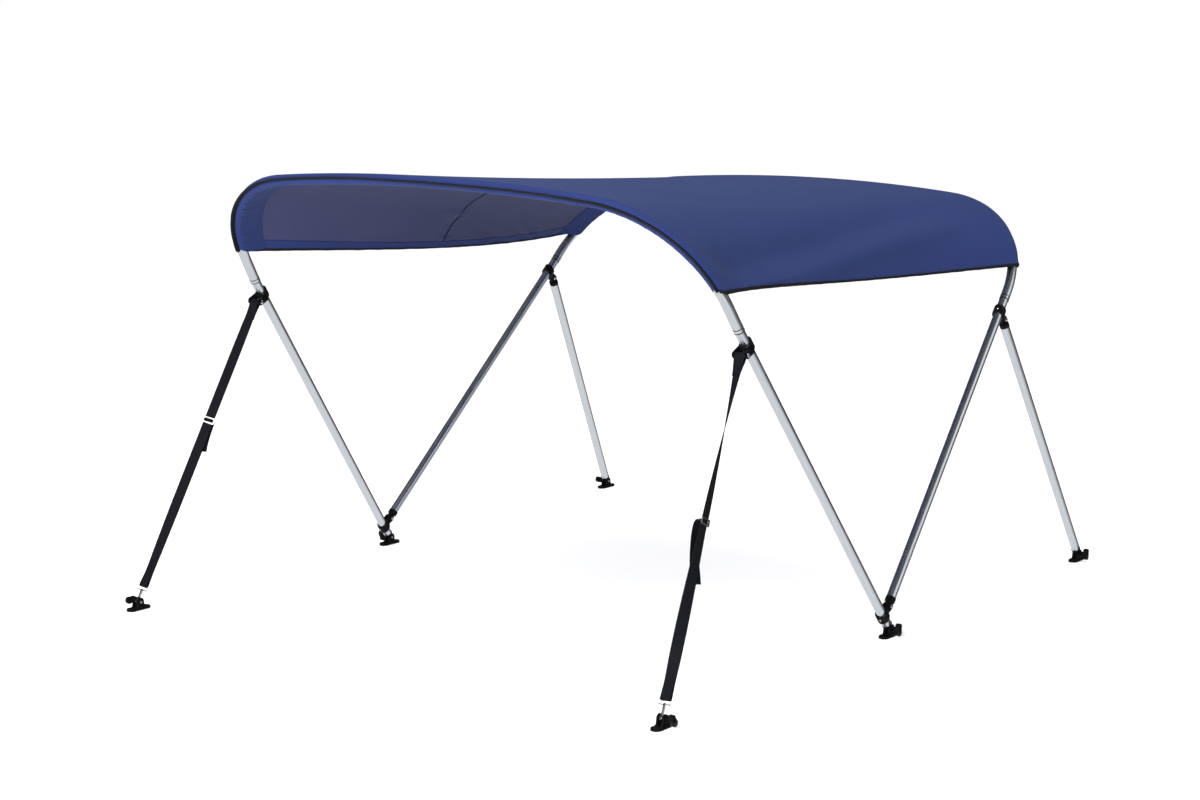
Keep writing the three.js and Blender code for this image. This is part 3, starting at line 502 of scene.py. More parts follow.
def thick_sheet(name, grid, uv, thick, materials, lining=None):
    """A closed sheet around a grid of middle points, its face side along the grid's normals."""
    rows, columns = grid.shape[:2]
    normal = normals_of(grid)
    thick = np.broadcast_to(np.asarray(thick, float), (rows, columns))[..., None]
    outer = (grid + normal * thick / 2).reshape(-1, 3)
    inner = (grid - normal * thick / 2).reshape(-1, 3)
    under = rows * columns
    index = np.arange(under).reshape(rows, columns)
    a, b = index[:-1, :-1].ravel(), index[:-1, 1:].ravel()
    c, d = index[1:, 1:].ravel(), index[1:, :-1].ravel()
    top = np.stack([a, b, c, d], 1)
    bottom = np.stack([a, d, c, b], 1) + under
    rim = np.concatenate([index[0, :-1], index[:-1, -1], index[-1, :0:-1], index[:0:-1, 0]])
    after = np.roll(rim, -1)
    side = np.stack([after, rim, rim + under, after + under], 1)
    faces = np.concatenate([top, bottom, side])
    inside = np.zeros(len(a), int) if lining is None else lining[:-1, :-1].ravel().astype(int)
    slots = np.concatenate([np.zeros(len(a), int), inside, np.zeros(len(side), int)])
    both = np.concatenate([uv.reshape(-1, 2), uv.reshape(-1, 2)])
    points = np.concatenate([outer, inner])
    return mesh_object(name, points, faces, materials, both, slots, sharp=50)


def sweep(name, sections, uv_along, uv_around, materials, sharp=40):
    """A closed bar through sections of equally many points, with a flat cap at each end."""
    sections = np.asarray(sections)
    rows, count = sections.shape[:2]
    index = np.arange(rows * count).reshape(rows, count)
    around = np.roll(index, -1, axis=1)
    faces = [tuple(f) for f in np.stack(
        [index[:-1], around[:-1], around[1:], index[1:]], -1).reshape(-1, 4)]
    faces += [tuple(index[0][::-1]), tuple(index[-1])]
    uv = np.stack(np.broadcast_arrays(uv_around[None, :], uv_along[:, None]), -1).reshape(-1, 2)
    obj = mesh_object(name, sections.reshape(-1, 3), faces, materials, uv, sharp=sharp)
    volume = bmesh.new()
    volume.from_mesh(obj.data)
    if volume.calc_volume(signed=True) < 0:
        bmesh.ops.reverse_faces(volume, faces=volume.faces)
        volume.to_mesh(obj.data)
    volume.free()
    return obj


# How a shape drawn in u and v, and thick along w, is turned to each axis.
DRAWN_ALONG = {
    "X": lambda u, v, w: (w, u, v),
    "Y": lambda u, v, w: (u, w, v),
    "Z": lambda u, v, w: (u, v, w),
}


def prism(outline, low, high, axis="Z"):
    """A closed plate drawn in two axes and as thick as low to high along the third."""
    shape = bmesh.new()
    turn = DRAWN_ALONG[axis]
    rings = [[shape.verts.new(turn(u, v, w)) for u, v in outline] for w in (low, high)]
    shape.faces.new(rings[0])
    shape.faces.new(rings[1])
    for k in range(len(outline)):
        after = (k + 1) % len(outline)
        shape.faces.new([rings[0][k], rings[0][after], rings[1][after], rings[1][k]])
    bmesh.ops.recalc_face_normals(shape, faces=shape.faces)
    return shape


def cone(radius_low, radius_high, low, high, axis="Z", at=(0, 0), sides=36):
    """A round bar, or a cone, between two places along an axis."""
    shape = prism([(math.cos(2 * math.pi * k / sides), math.sin(2 * math.pi * k / sides))
                   for k in range(sides)], 0, 1)
    turn = DRAWN_ALONG[axis]
    for vert in shape.verts:
        u, v, w = vert.co
        radius = radius_low if w < 0.5 else radius_high
        vert.co = turn(at[0] + u * radius, at[1] + v * radius, low + w * (high - low))
    bmesh.ops.recalc_face_normals(shape, faces=shape.faces)
    return shape


def rod(radius, low, high, axis="Z", at=(0, 0), sides=36):
    """A round bar between two places along an axis."""
    return cone(radius, radius, low, high, axis, at, sides)


def arc(cx, cy, radius, start, end, steps=16):
    """Points of an arc between two angles in degrees."""
    return [(cx + radius * math.cos(math.radians(start + (end - start) * k / steps)),
             cy + radius * math.sin(math.radians(start + (end - start) * k / steps)))
            for k in range(steps + 1)]


def fused(name, adds, cuts=(), keep=(), bevel=0.5):
    """One mesh, in millimetres: shapes joined, others cut away or kept within, edges eased."""
    made = []
    for shape in (*adds, *cuts, *keep):
        mesh = bpy.data.meshes.new(name)
        shape.to_mesh(mesh)
        shape.free()
        made.append(linked(name, mesh))
    body = made[0]
    steps = ["UNION"] * (len(adds) - 1) + ["DIFFERENCE"] * len(cuts) + ["INTERSECT"] * len(keep)
    for other, step in zip(made[1:], steps):
        boolean = body.modifiers.new(step, "BOOLEAN")
        boolean.operation = step
        boolean.object = other
        boolean.solver = "MANIFOLD"
    if bevel:
        weld = body.modifiers.new("Weld", "WELD")
        weld.merge_threshold = 0.01
        ease = body.modifiers.new("Ease", "BEVEL")
        ease.width = bevel
        ease.segments = 2
        ease.limit_method = "ANGLE"
        ease.angle_limit = math.radians(38)
        ease.use_clamp_overlap = True
    bpy.context.view_layer.update()
    graph = bpy.context.evaluated_depsgraph_get()
    mesh = bpy.data.meshes.new_from_object(body.evaluated_get(graph))
    for obj in made:
        mesh_left = obj.data
        bpy.data.objects.remove(obj)
        bpy.data.meshes.remove(mesh_left)
    mesh.name = name
    return mesh


def placed(name, mesh, matrix, material):
    """A copy of a mesh drawn in millimetres, in its place, as an object at the origin."""
    copy = mesh.copy()
    copy.transform(matrix @ Matrix.Scale(MM, 4))
    copy.materials.clear()
    copy.materials.append(material)
    shade_smooth(copy, 32)
    copy.name = name
    return linked(name, copy)


def frame_matrix(origin, x_axis, y_axis, z_axis):
    """The matrix that puts a shape at a place, turned to three axes."""
    matrix = Matrix.Identity(4)
    for column, axis in enumerate((x_axis, y_axis, z_axis, origin)):
        for row in range(3):
            matrix[row][column] = axis[row]
    return matrix


def settle(obj, slot, *nodes, body="frame"):
    """Puts a finished piece on its body, in the place of its CAD nodes."""
    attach(obj, body)
    if nodes:
        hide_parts(*nodes)
    return obj


# Finishes.


def add(tree, kind, values=(), **settings):
    """A shader or geometry node, its settings, and its inputs by name or number."""
    node = tree.nodes.new(kind)
    for key, value in settings.items():
        setattr(node, key, value)
    for key, value in dict(values).items():
        socket = node.inputs[key]
        if isinstance(value, bpy.types.NodeSocket):
            tree.links.new(value, socket)
        else:
            socket.default_value = value
    return node


def finish(name, **values):
    """A named material with its shader's own values set."""
    material = bpy.data.materials.new(name)
    material.use_nodes = True
    tree = material.node_tree
    shader = tree.nodes["Principled BSDF"]
    for key, value in values.items():
        shader.inputs[key.replace("_", " ")].default_value = value
    return material, tree, shader


def mapped(tree, scale, uv=True):
    """Coordinates in metres times a scale: along the surface, or in space."""
    source = add(tree, "ShaderNodeUVMap", uv_map="UVMap").outputs["UV"] if uv \
        else add(tree, "ShaderNodeTexCoord").outputs["Object"]
    return add(tree, "ShaderNodeMapping", {"Vector": source, "Scale": scale}).outputs["Vector"]


def noise(tree, vector, scale, detail=3, rough=0.5):
    """Uneven shades at a scale, as a value."""
    return add(tree, "ShaderNodeTexNoise", {
        "Vector": vector, "Scale": scale, "Detail": detail, "Roughness": rough}).outputs["Fac"]


def ranged(tree, value, low, high, to_low, to_high):
    """A value moved from one range to another, and held within it."""
    return add(tree, "ShaderNodeMapRange", {
        "Value": value, "From Min": low, "From Max": high, "To Min": to_low,
        "To Max": to_high}).outputs["Result"]


def mixed(tree, share, one, other):
    """A colour between two others."""
    node = add(tree, "ShaderNodeMix", data_type="RGBA")
    for key, value in ((0, share), (6, one), (7, other)):
        if isinstance(value, bpy.types.NodeSocket):
            tree.links.new(value, node.inputs[key])
        else:
            node.inputs[key].default_value = value
    return node.outputs[2]


def sums(tree, operation, a, b):
    """One step of arithmetic on values."""
    return add(tree, "ShaderNodeMath", {0: a, 1: b}, operation=operation).outputs[0]


def bumped(tree, height, distance, strength, onto=None):
    """A surface direction bumped by a height in metres, on top of another one if given."""
    values = {"Height": height, "Distance": distance, "Strength": strength}
    if onto is not None:
        values["Normal"] = onto
    return add(tree, "ShaderNodeBump", values).outputs["Normal"]


def rgba(rgb, factor=1.0):
    """A colour made lighter or darker, with its alpha."""
    return (*[min(1.0, c * factor) for c in rgb], 1.0)


def weave(tree, pitch):
    """The height of a plain weave: warp and weft threads over and under each other."""
    metres = mapped(tree, (1, 1, 1))
    split = add(tree, "ShaderNodeSeparateXYZ", {"Vector": metres})
    waves = []
    for axis in ("X", "Y"):
        turn = sums(tree, "MULTIPLY", split.outputs[axis], math.pi / pitch)
        waves.append(sums(tree, "SINE", turn, 0.0))
    return sums(tree, "MULTIPLY", waves[0], waves[1])


def cloth_finish(name, rgb, rough, gloss, thread_show):
    """Coated polyester: a fine plain weave, uneven dye, and slight creases."""
    material, tree, shader = finish(
        name, Roughness=rough, Sheen_Weight=gloss, Sheen_Roughness=0.5,
        Sheen_Tint=(0.35, 0.5, 0.9, 1.0), Specular_IOR_Level=0.1,
        Specular_Tint=(0.5, 0.65, 1.0, 1.0))
    threads = weave(tree, pitch=0.9 * MM)
    slow = noise(tree, mapped(tree, (1, 1, 1)), 3.2, 4)
    fine = noise(tree, mapped(tree, (1.0, 12.0, 1)), 60, 2)
    tone = mixed(tree, ranged(tree, slow, 0.3, 0.7, 0, 1), rgba(rgb, 0.93), rgba(rgb, 1.06))
    tone = mixed(tree, ranged(tree, fine, 0.35, 0.65, 0, 0.35), tone, rgba(rgb, 1.12))
    tone = mixed(tree, ranged(tree, threads, -1, 1, 0, thread_show), tone, rgba(rgb, 0.72))
    tree.links.new(tone, shader.inputs["Base Color"])
    creases = noise(tree, mapped(tree, (1, 1, 1)), 26, 3)
    normal = bumped(tree, creases, 1.2 * MM, 0.16)
    tree.links.new(bumped(tree, threads, 0.06 * MM, 0.5, normal), shader.inputs["Normal"])
    return material


def waves_along(tree, value, pitch):
    """Rounded ribs of a pitch, from nothing to full height."""
    turn = sums(tree, "MULTIPLY", value, math.pi / pitch)
    return sums(tree, "ABSOLUTE", sums(tree, "SINE", turn, 0.0), 0.0)


def tape_finish(name, rgb, pitch, rough):
    """Woven tape or webbing: fine ribs along it, and threads across them at a pitch, with painted
    shade in the grooves between them.
    """
    material, tree, shader = finish(name, Roughness=rough, Sheen_Weight=0.006,
                                    Sheen_Roughness=0.5, Specular_IOR_Level=0.03)
    split = add(tree, "ShaderNodeSeparateXYZ", {"Vector": mapped(tree, (1, 1, 1))})
    ribs = waves_along(tree, split.outputs["X"], 1.4 * MM)
    threads = waves_along(tree, split.outputs["Y"], pitch)
    height = sums(tree, "ADD", sums(tree, "MULTIPLY", ribs, 0.7),
                  sums(tree, "MULTIPLY", threads, 0.5))
    dust = noise(tree, mapped(tree, (1, 1, 1)), 22, 3)
    # Tone follows the ribs' height: tops painted lighter and grooves painted darker, as painted
    # shade. The dust below is random pale marks.
    tone = mixed(tree, ranged(tree, height, 0.2, 1.1, 0, 1), rgba(rgb, 0.55), rgba(rgb, 1.25))
    tone = mixed(tree, ranged(tree, dust, 0.45, 0.75, 0, 0.3), tone, rgba(rgb, 1.7))
    tree.links.new(tone, shader.inputs["Base Color"])
    tree.links.new(bumped(tree, height, 0.3 * MM, 0.7), shader.inputs["Normal"])
    return material


def tube_finish():
    """Anodised aluminium tube, with fine marks along it from drawing."""
    material, tree, shader = finish("anodised_aluminium", Metallic=1.0, Anisotropic=0.4)
    rgb = colours().tube
    drawn = noise(tree, mapped(tree, (1, 0.012, 1)), 900, 2, 0.6)
    cloudy = noise(tree, mapped(tree, (1, 1, 1), uv=False), 14, 3)
    tone = mixed(tree, ranged(tree, drawn, 0.35, 0.65, 0, 1), rgba(rgb, 0.88), rgba(rgb, 1.04))
    tree.links.new(tone, shader.inputs["Base Color"])
    rough = sums(tree, "ADD", ranged(tree, cloudy, 0.3, 0.7, 0.15, 0.24),
                 ranged(tree, drawn, 0.3, 0.7, 0, 0.08))
    tree.links.new(rough, shader.inputs["Roughness"])
    tree.links.new(bumped(tree, drawn, 0.06 * MM, 0.35), shader.inputs["Normal"])
    return material


def nylon_finish():
    """Black moulded nylon with a fine grain, worn a little paler in places."""
    material, tree, shader = finish("moulded_nylon", Specular_IOR_Level=0.07)
    rgb = colours().nylon
    grain = noise(tree, mapped(tree, (1, 1, 1), uv=False), 1600, 2, 0.7)
    worn = noise(tree, mapped(tree, (1, 1, 1), uv=False), 60, 4)
    tone = mixed(tree, ranged(tree, worn, 0.45, 0.8, 0, 1), rgba(rgb), rgba(rgb, 2.4))
    tree.links.new(tone, shader.inputs["Base Color"])
    tree.links.new(ranged(tree, worn, 0.3, 0.7, 0.2, 0.32), shader.inputs["Roughness"])
    tree.links.new(bumped(tree, grain, 0.1 * MM, 0.25), shader.inputs["Normal"])
    return material


def steel_finish(name, rgb, rough, metal=1.0):
    """Steel or plating with faint handling marks."""
    material, tree, shader = finish(name, Metallic=metal)
    marks = noise(tree, mapped(tree, (1, 1, 1), uv=False), 260, 4, 0.65)
    tone = mixed(tree, ranged(tree, marks, 0.4, 0.7, 0, 1), rgba(rgb), rgba(rgb, 0.8))
    tree.links.new(tone, shader.inputs["Base Color"])
    tree.links.new(ranged(tree, marks, 0.3, 0.7, rough, rough + 0.12), shader.inputs["Roughness"])
    tree.links.new(bumped(tree, marks, 0.05 * MM, 0.2), shader.inputs["Normal"])
    return material


def thread_finish(name, rgb):
    """Sewing thread, with the light and dark of its twist."""
    material, tree, shader = finish(name, Roughness=0.6, Specular_IOR_Level=0.1)
    twist = noise(tree, mapped(tree, (1, 1, 1), uv=False), 2500, 1)
    tone = mixed(tree, ranged(tree, twist, 0.35, 0.65, 0, 1), rgba(rgb, 0.7), rgba(rgb, 1.3))
    tree.links.new(tone, shader.inputs["Base Color"])
    return material


MAKERS = {
    "cloth": lambda: cloth_finish("polyester_face", colours().cloth, 0.62, 0.06, 0.3),
    "lining": lambda: cloth_finish("polyester_coating", colours().lining, 0.7, 0.02, 0.12),
    "edging": lambda: tape_finish("edging_tape", colours().edging, 0.0016, 0.55),
    "webbing": lambda: tape_finish("ribbed_webbing", colours().webbing, 0.0021, 0.62),
    "tube": tube_finish,
    "nylon": nylon_finish,
    "bright": lambda: steel_finish("bright_steel", colours().bright, 0.12),
    "plated": lambda: steel_finish("nickel_plate", colours().plated, 0.35, 0.45),
    "dull": lambda: steel_finish("dull_steel", colours().dull, 0.3),
    "blue_thread": lambda: thread_finish("blue_thread", colours().blue_thread),
    "black_thread": lambda: thread_finish("black_thread", colours().black_thread),
}
made_finishes = {}


def look(name):
    """A finish by its key, made when a piece first asks for it."""
    if name not in made_finishes:
        made_finishes[name] = MAKERS[name]()
    return made_finishes[name]


# Node trees for tubes, for stitches, and for small parts that repeat.


def new_group(name, inputs):
    """An empty geometry tree with a geometry in and out, and named inputs."""
    tree = bpy.data.node_groups.new(name, "GeometryNodeTree")
    tree.interface.new_socket("Geometry", in_out="INPUT", socket_type="NodeSocketGeometry")
    tree.interface.new_socket("Geometry", in_out="OUTPUT", socket_type="NodeSocketGeometry")
    for label, kind, default in inputs:
        socket = tree.interface.new_socket(label, in_out="INPUT", socket_type=kind)
        if default is not None:
            socket.default_value = default
    return tree, tree.nodes.new("NodeGroupInput"), tree.nodes.new("NodeGroupOutput")


def coated(tree, geometry, given, result):
    """Ends a tree: instances made real, and the finish set on them."""
    real = add(tree, "GeometryNodeRealizeInstances", {"Geometry": geometry})
    finished = add(tree, "GeometryNodeSetMaterial", {
        "Geometry": real.outputs["Geometry"], "Material": given.outputs["Material"]})
    tree.links.new(finished.outputs["Geometry"], result.inputs["Geometry"])


def kept_length(tree, curve, name):
    """A curve with the length along it kept on each point: the curve and the kept length."""
    place = add(tree, "GeometryNodeSplineParameter")
    kept = add(tree, "GeometryNodeCaptureAttribute", {"Geometry": curve})
    kept.capture_items.new("FLOAT", name)
    tree.links.new(place.outputs["Length"], kept.inputs[name])
    return kept.outputs["Geometry"], kept.outputs[name]


def tube_tree():
    """A round tube along a line of edges, its UV in metres around and along it."""
    tree, given, result = new_group("tube_along_path", (
        ("Radius", "NodeSocketFloat", 0.011), ("Sides", "NodeSocketInt", 40),
        ("Material", "NodeSocketMaterial", None)))
    line = add(tree, "GeometryNodeMeshToCurve", {"Mesh": given.outputs["Geometry"]})
    ring = add(tree, "GeometryNodeCurvePrimitiveCircle", {
        "Resolution": given.outputs["Sides"], "Radius": given.outputs["Radius"]})
    path, along = kept_length(tree, line.outputs["Curve"], "Along")
    profile, around = kept_length(tree, ring.outputs["Curve"], "Around")
    tube = add(tree, "GeometryNodeCurveToMesh", {
        "Curve": path, "Profile Curve": profile, "Fill Caps": True})
    pair = add(tree, "ShaderNodeCombineXYZ", {"X": around, "Y": along})
    stored = add(tree, "GeometryNodeStoreNamedAttribute", data_type="FLOAT2", domain="CORNER")
    stored.inputs["Name"].default_value = "UVMap"
    tree.links.new(tube.outputs["Mesh"], stored.inputs["Geometry"])
    tree.links.new(pair.outputs["Vector"], stored.inputs["Value"])
    coated(tree, stored.outputs["Geometry"], given, result)
    return tree


def stitch_tree():
    """Short threads end to end along lines of edges."""
    tree, given, result = new_group("stitches_along_path", (
        ("Pitch", "NodeSocketFloat", 0.0042), ("Length", "NodeSocketFloat", 0.003),
        ("Thread Radius", "NodeSocketFloat", 0.0004), ("Material", "NodeSocketMaterial", None)))
    line = add(tree, "GeometryNodeMeshToCurve", {"Mesh": given.outputs["Geometry"]})
    even = add(tree, "GeometryNodeResampleCurve", {"Curve": line.outputs["Curve"]})
    even.mode = "LENGTH"
    tree.links.new(given.outputs["Pitch"], even.inputs["Length"])
    ball = add(tree, "GeometryNodeMeshUVSphere", {"Segments": 6, "Rings": 4, "Radius": 0.5})
    long_way = add(tree, "GeometryNodeInputTangent")
    turn = add(tree, "FunctionNodeAlignRotationToVector", {"Vector": long_way.outputs["Tangent"]},
               axis="Z")
    thick = add(tree, "ShaderNodeMath", {0: given.outputs["Thread Radius"], 1: 2.0},
                operation="MULTIPLY")
    size = add(tree, "ShaderNodeCombineXYZ", {
        "X": thick.outputs[0], "Y": thick.outputs[0], "Z": given.outputs["Length"]})
    many = add(tree, "GeometryNodeInstanceOnPoints", {
        "Points": even.outputs["Curve"], "Instance": ball.outputs["Mesh"],
        "Rotation": turn.outputs["Rotation"], "Scale": size.outputs["Vector"]})
    coated(tree, many.outputs["Instances"], given, result)
    return tree


def copies_tree():
    """A copy of a small part on each point, along the point's own facing direction."""
    tree, given, result = new_group("copies_on_points", (
        ("Part", "NodeSocketObject", None), ("Material", "NodeSocketMaterial", None)))
    part = add(tree, "GeometryNodeObjectInfo", {"Object": given.outputs["Part"]})
    facing = add(tree, "GeometryNodeInputNamedAttribute", data_type="FLOAT_VECTOR")
    facing.inputs["Name"].default_value = "facing"
    turn = add(tree, "FunctionNodeAlignRotationToVector",
               {"Vector": facing.outputs["Attribute"]}, axis="Z")
    many = add(tree, "GeometryNodeInstanceOnPoints", {
        "Points": given.outputs["Geometry"], "Instance": part.outputs["Geometry"],
        "Rotation": turn.outputs["Rotation"]})
    coated(tree, many.outputs["Instances"], given, result)
    return tree


TREES = {"tube": tube_tree, "stitch": stitch_tree, "copies": copies_tree}
made_trees = {}


def grown(name, tree_name, points, edges, values, facing=None):
    """The plain mesh that a node tree makes from points and edges, as an object at the origin."""
    if tree_name not in made_trees:
        made_trees[tree_name] = TREES[tree_name]()
    tree = made_trees[tree_name]
    base = bpy.data.meshes.new(name)
    base.from_pydata([tuple(p) for p in points], edges, [])
    if facing is not None:
        attribute = base.attributes.new("facing", "FLOAT_VECTOR", "POINT")
        attribute.data.foreach_set("vector", np.asarray(facing, np.float32).ravel())
    obj = linked(name, base)
    modifier = obj.modifiers.new("Grow", "NODES")
    modifier.node_group = tree
    for item in tree.interface.items_tree:
        if item.item_type == "SOCKET" and item.in_out == "INPUT" and item.name in values:
            modifier[item.identifier] = values[item.name]
    graph = bpy.context.evaluated_depsgraph_get()
    mesh = bpy.data.meshes.new_from_object(obj.evaluated_get(graph))
    obj.modifiers.clear()
    obj.data = mesh
    bpy.data.meshes.remove(base)
    mesh.name = name
    shade_smooth(mesh, 40)
    return obj


def copies(name, mesh, points, facing, finish_name, slot):
    """Copies of a mesh drawn in millimetres, one on each point and turned its own way."""
    mesh.transform(Matrix.Scale(MM, 4))
    source = linked(f"{name}_source", mesh)
    obj = grown(name, "copies", points, [], {"Part": source, "Material": look(finish_name)}, facing)
    bpy.data.objects.remove(source)
    return settle(obj, slot)


def chain(count):
    """Edges that join points in a row."""
    return [(k, k + 1) for k in range(count - 1)]


def stitched(name, lines, thread, length, radius, pitch=None):
    """Stitches along several lines of points, at the usual pitch unless one is given."""
    points, edges = [], []
    for line in lines:
        edges += [(a + len(points), b + len(points)) for a, b in chain(len(line))]
        points += list(line)
    obj = grown(name, "stitch", points, edges, {
        "Pitch": pitch or sizes().stitch_pitch, "Length": length, "Thread Radius": radius,
        "Material": look(thread)})
    return settle(obj, "canopy_fabric")


# Places on the frame.


def leg_frame(pin, ring):
    """A leg's line between its pin and its ring, and the directions across and behind it."""
    along = unit(np.array(ring) - np.array(pin))
    across = unit(np.array([1.0, 0, 0]) - along * along[0])
    return dict(pin=np.array(pin), ring=np.array(ring), along=along, across=across,
                back=unit(np.cross(along, across)))


def side_places(side):
    """The pins, bolts and tube lines of one side of the frame."""
    def ring(name):
        x, y, z = BOWS[name]["ring"]
        return np.array([side * x, y, z])
    pins = {key: np.array([side * HALF_BEAM, y, PIN_HEIGHT]) for key, y in MOUNT_Y.items()}
    main = leg_frame(pins["main"], ring("front"))
    rear_pin = main["pin"] + main["along"] * LOW_JAW_AT + main["back"] * LOW_LUG_REACH
    rear = leg_frame(rear_pin, ring("rear"))
    strap_bolt = main["pin"] + main["along"] * STRAP_JAW_AT - main["back"] * LUG_REACH
    pole_bolt = rear["pin"] + rear["along"] * POLE_JAW_AT + rear["back"] * LUG_REACH
    pole = leg_frame(pins["pole"], pole_bolt)
    return dict(pins=pins, main=main, rear=rear, pole=pole, strap_bolt=strap_bolt,
                pole_bolt=pole_bolt)


# Operators, one for each group of pieces.


class BIMINI_OT_canopy(bpy.types.Operator):
    """Stretch the canopy cloth over both bows, with its hems and its cross seam"""

    bl_idname = "bimini.canopy"
    bl_label = "Canopy cloth"

    def execute(self, context):
        length = edge_length(BOWS["front"])
        edge = cloth_edge()
        hem = edge - (sizes().hem_width - BINDING_WIDTH) / length
        hem_step = (hem / edge - 0.0006, hem / edge + 0.0006)
        across = shares(0.0095, 0.0032, hem_step) * edge
        grid, places = self.rows(across)
        u, v = laid_out(grid, across * length)
        t = places[:, None] + 0 * u
        cloth = sizes().cloth_thick
        in_hem = np.abs(across)[None, :] > hem
        within = seam_swell(u / length, t) + np.where(in_hem, 0.6 * cloth, 0.0)
        grid = grid + normals_of(grid) * (folds(u / length, t) - within / 2)[..., None]
        uv = np.stack([u, v], -1)
        # Along the cross seam the inside shows the darker face cloth: partly the seam's face side,
        # partly a painted shadow line of its fold.
        lining = ~in_hem & (np.abs(t - SEAM_FACE_AND_SHADE_STRIP) > SEAM_FACE_AND_SHADE_HALF)
        obj = thick_sheet("canopy_top", grid, uv, cloth + within, [look("cloth"), look("lining")],
                          lining)
        settle(obj, "canopy_fabric", "canopy_cloth")
        return {"FINISHED"}

    def rows(self, across):
        """The smooth cloth's points from the front piping to the rear one, and each row's place."""
        spans = stepped((0, 0.12, 0.47, 0.49, 0.51, 0.53, 0.88, 1), (12, 32, 6, 16, 6, 32, 12))
        rows, places = [], []
        for k in np.linspace(1, 0, 8, endpoint=False):
            rows.append(self.wrap(across, "front", k))
            places.append(-k)
        for t in spans:
            rows.append(on_span(across, t, 0.0))
            places.append(t)
        for k in np.linspace(0, 1, 9)[1:]:
            rows.append(self.wrap(across, "rear", k))
            places.append(1 + k)
        return np.array(rows), np.array(places)

    def wrap(self, across, name, k):
        """The cloth around a bow, from where it leaves for the other bow to its piping."""
        leave = leave_angle(across)
        stop = piping_angle(across, name) - PIPING_ROOM
        angle = -leave + (stop + leave) * k
        return on_sleeve(crossing(cornered(across, angle))[name], angle,
                         sleeve_reach(across, angle, name))


class BIMINI_OT_sleeves(bpy.types.Operator):
    """Make the sleeve pocket under each bow, gathered in its bends"""

    bl_idname = "bimini.sleeves"
    bl_label = "Sleeve pockets"

    def execute(self, context):
        for name in ("front", "rear"):
            self.pocket(name)
        return {"FINISHED"}

    def pocket(self, name):
        """A strip from the piping around the bow, and then to its seam under the canopy."""
        length = edge_length(BOWS[name])
        across = shares(0.008, 0.0026) * cloth_edge()
        start = piping_angle(across, name) + PIPING_ROOM
        rows = []
        for k in np.linspace(0, 1, 9):
            angle = start + (POCKET_LEAVE - start) * k
            ends = crossing(cornered(across, POCKET_LEAVE - angle))
            rows.append(on_sleeve(ends[name], angle, sleeve_reach(across, angle, name)))
        last = rows[-1]
        thick = sizes().cloth_thick
        seam_at = seam_place(across, name)
        seam = on_span(across, seam_at, folds(across, seam_at)[:, None] - thick - 0.0001)
        for k in np.linspace(0, 1, 21)[1:]:
            rows.append(last * (1 - k) + seam * k)
        grid = np.array(rows)
        u, v = laid_out(grid, across * length)
        wide = float(v[-1, 0])
        outward = -1.0 if name == "front" else 1.0
        loose = self.gathers(u / length, u, v, wide)
        grid = grid + outward * normals_of(grid) * loose[..., None]
        uv = np.stack([u, v], -1)
        if name == "front":
            grid, uv = grid[::-1], uv[::-1]
        obj = thick_sheet(f"{name}_sleeve", grid, uv, thick, [look("cloth"), look("lining")],
                          np.ones(u.shape, bool))
        settle(obj, "canopy_fabric", f"{name}_pocket")

    def gathers(self, s, u, v, wide):
        """How far the pocket stands off in the bow's bends: fine gathers near the bow, and slack."""
        bend = smooth(np.abs(s), 0.5, 0.66) * (1 - 0.6 * smooth(np.abs(s), 0.8, 1))
        bend = bend * np.where(s < 0, 1.0, 0.35)
        fine = 0.0018 * np.clip(ripple(u * 300, 31) + 0.5, 0, None)
        slack = 0.0014 * ripple(u * 60, 37) * np.sin(np.pi * v / wide)
        return bend * (fine * np.exp(-((v - 0.028) / 0.02) ** 2) + slack)


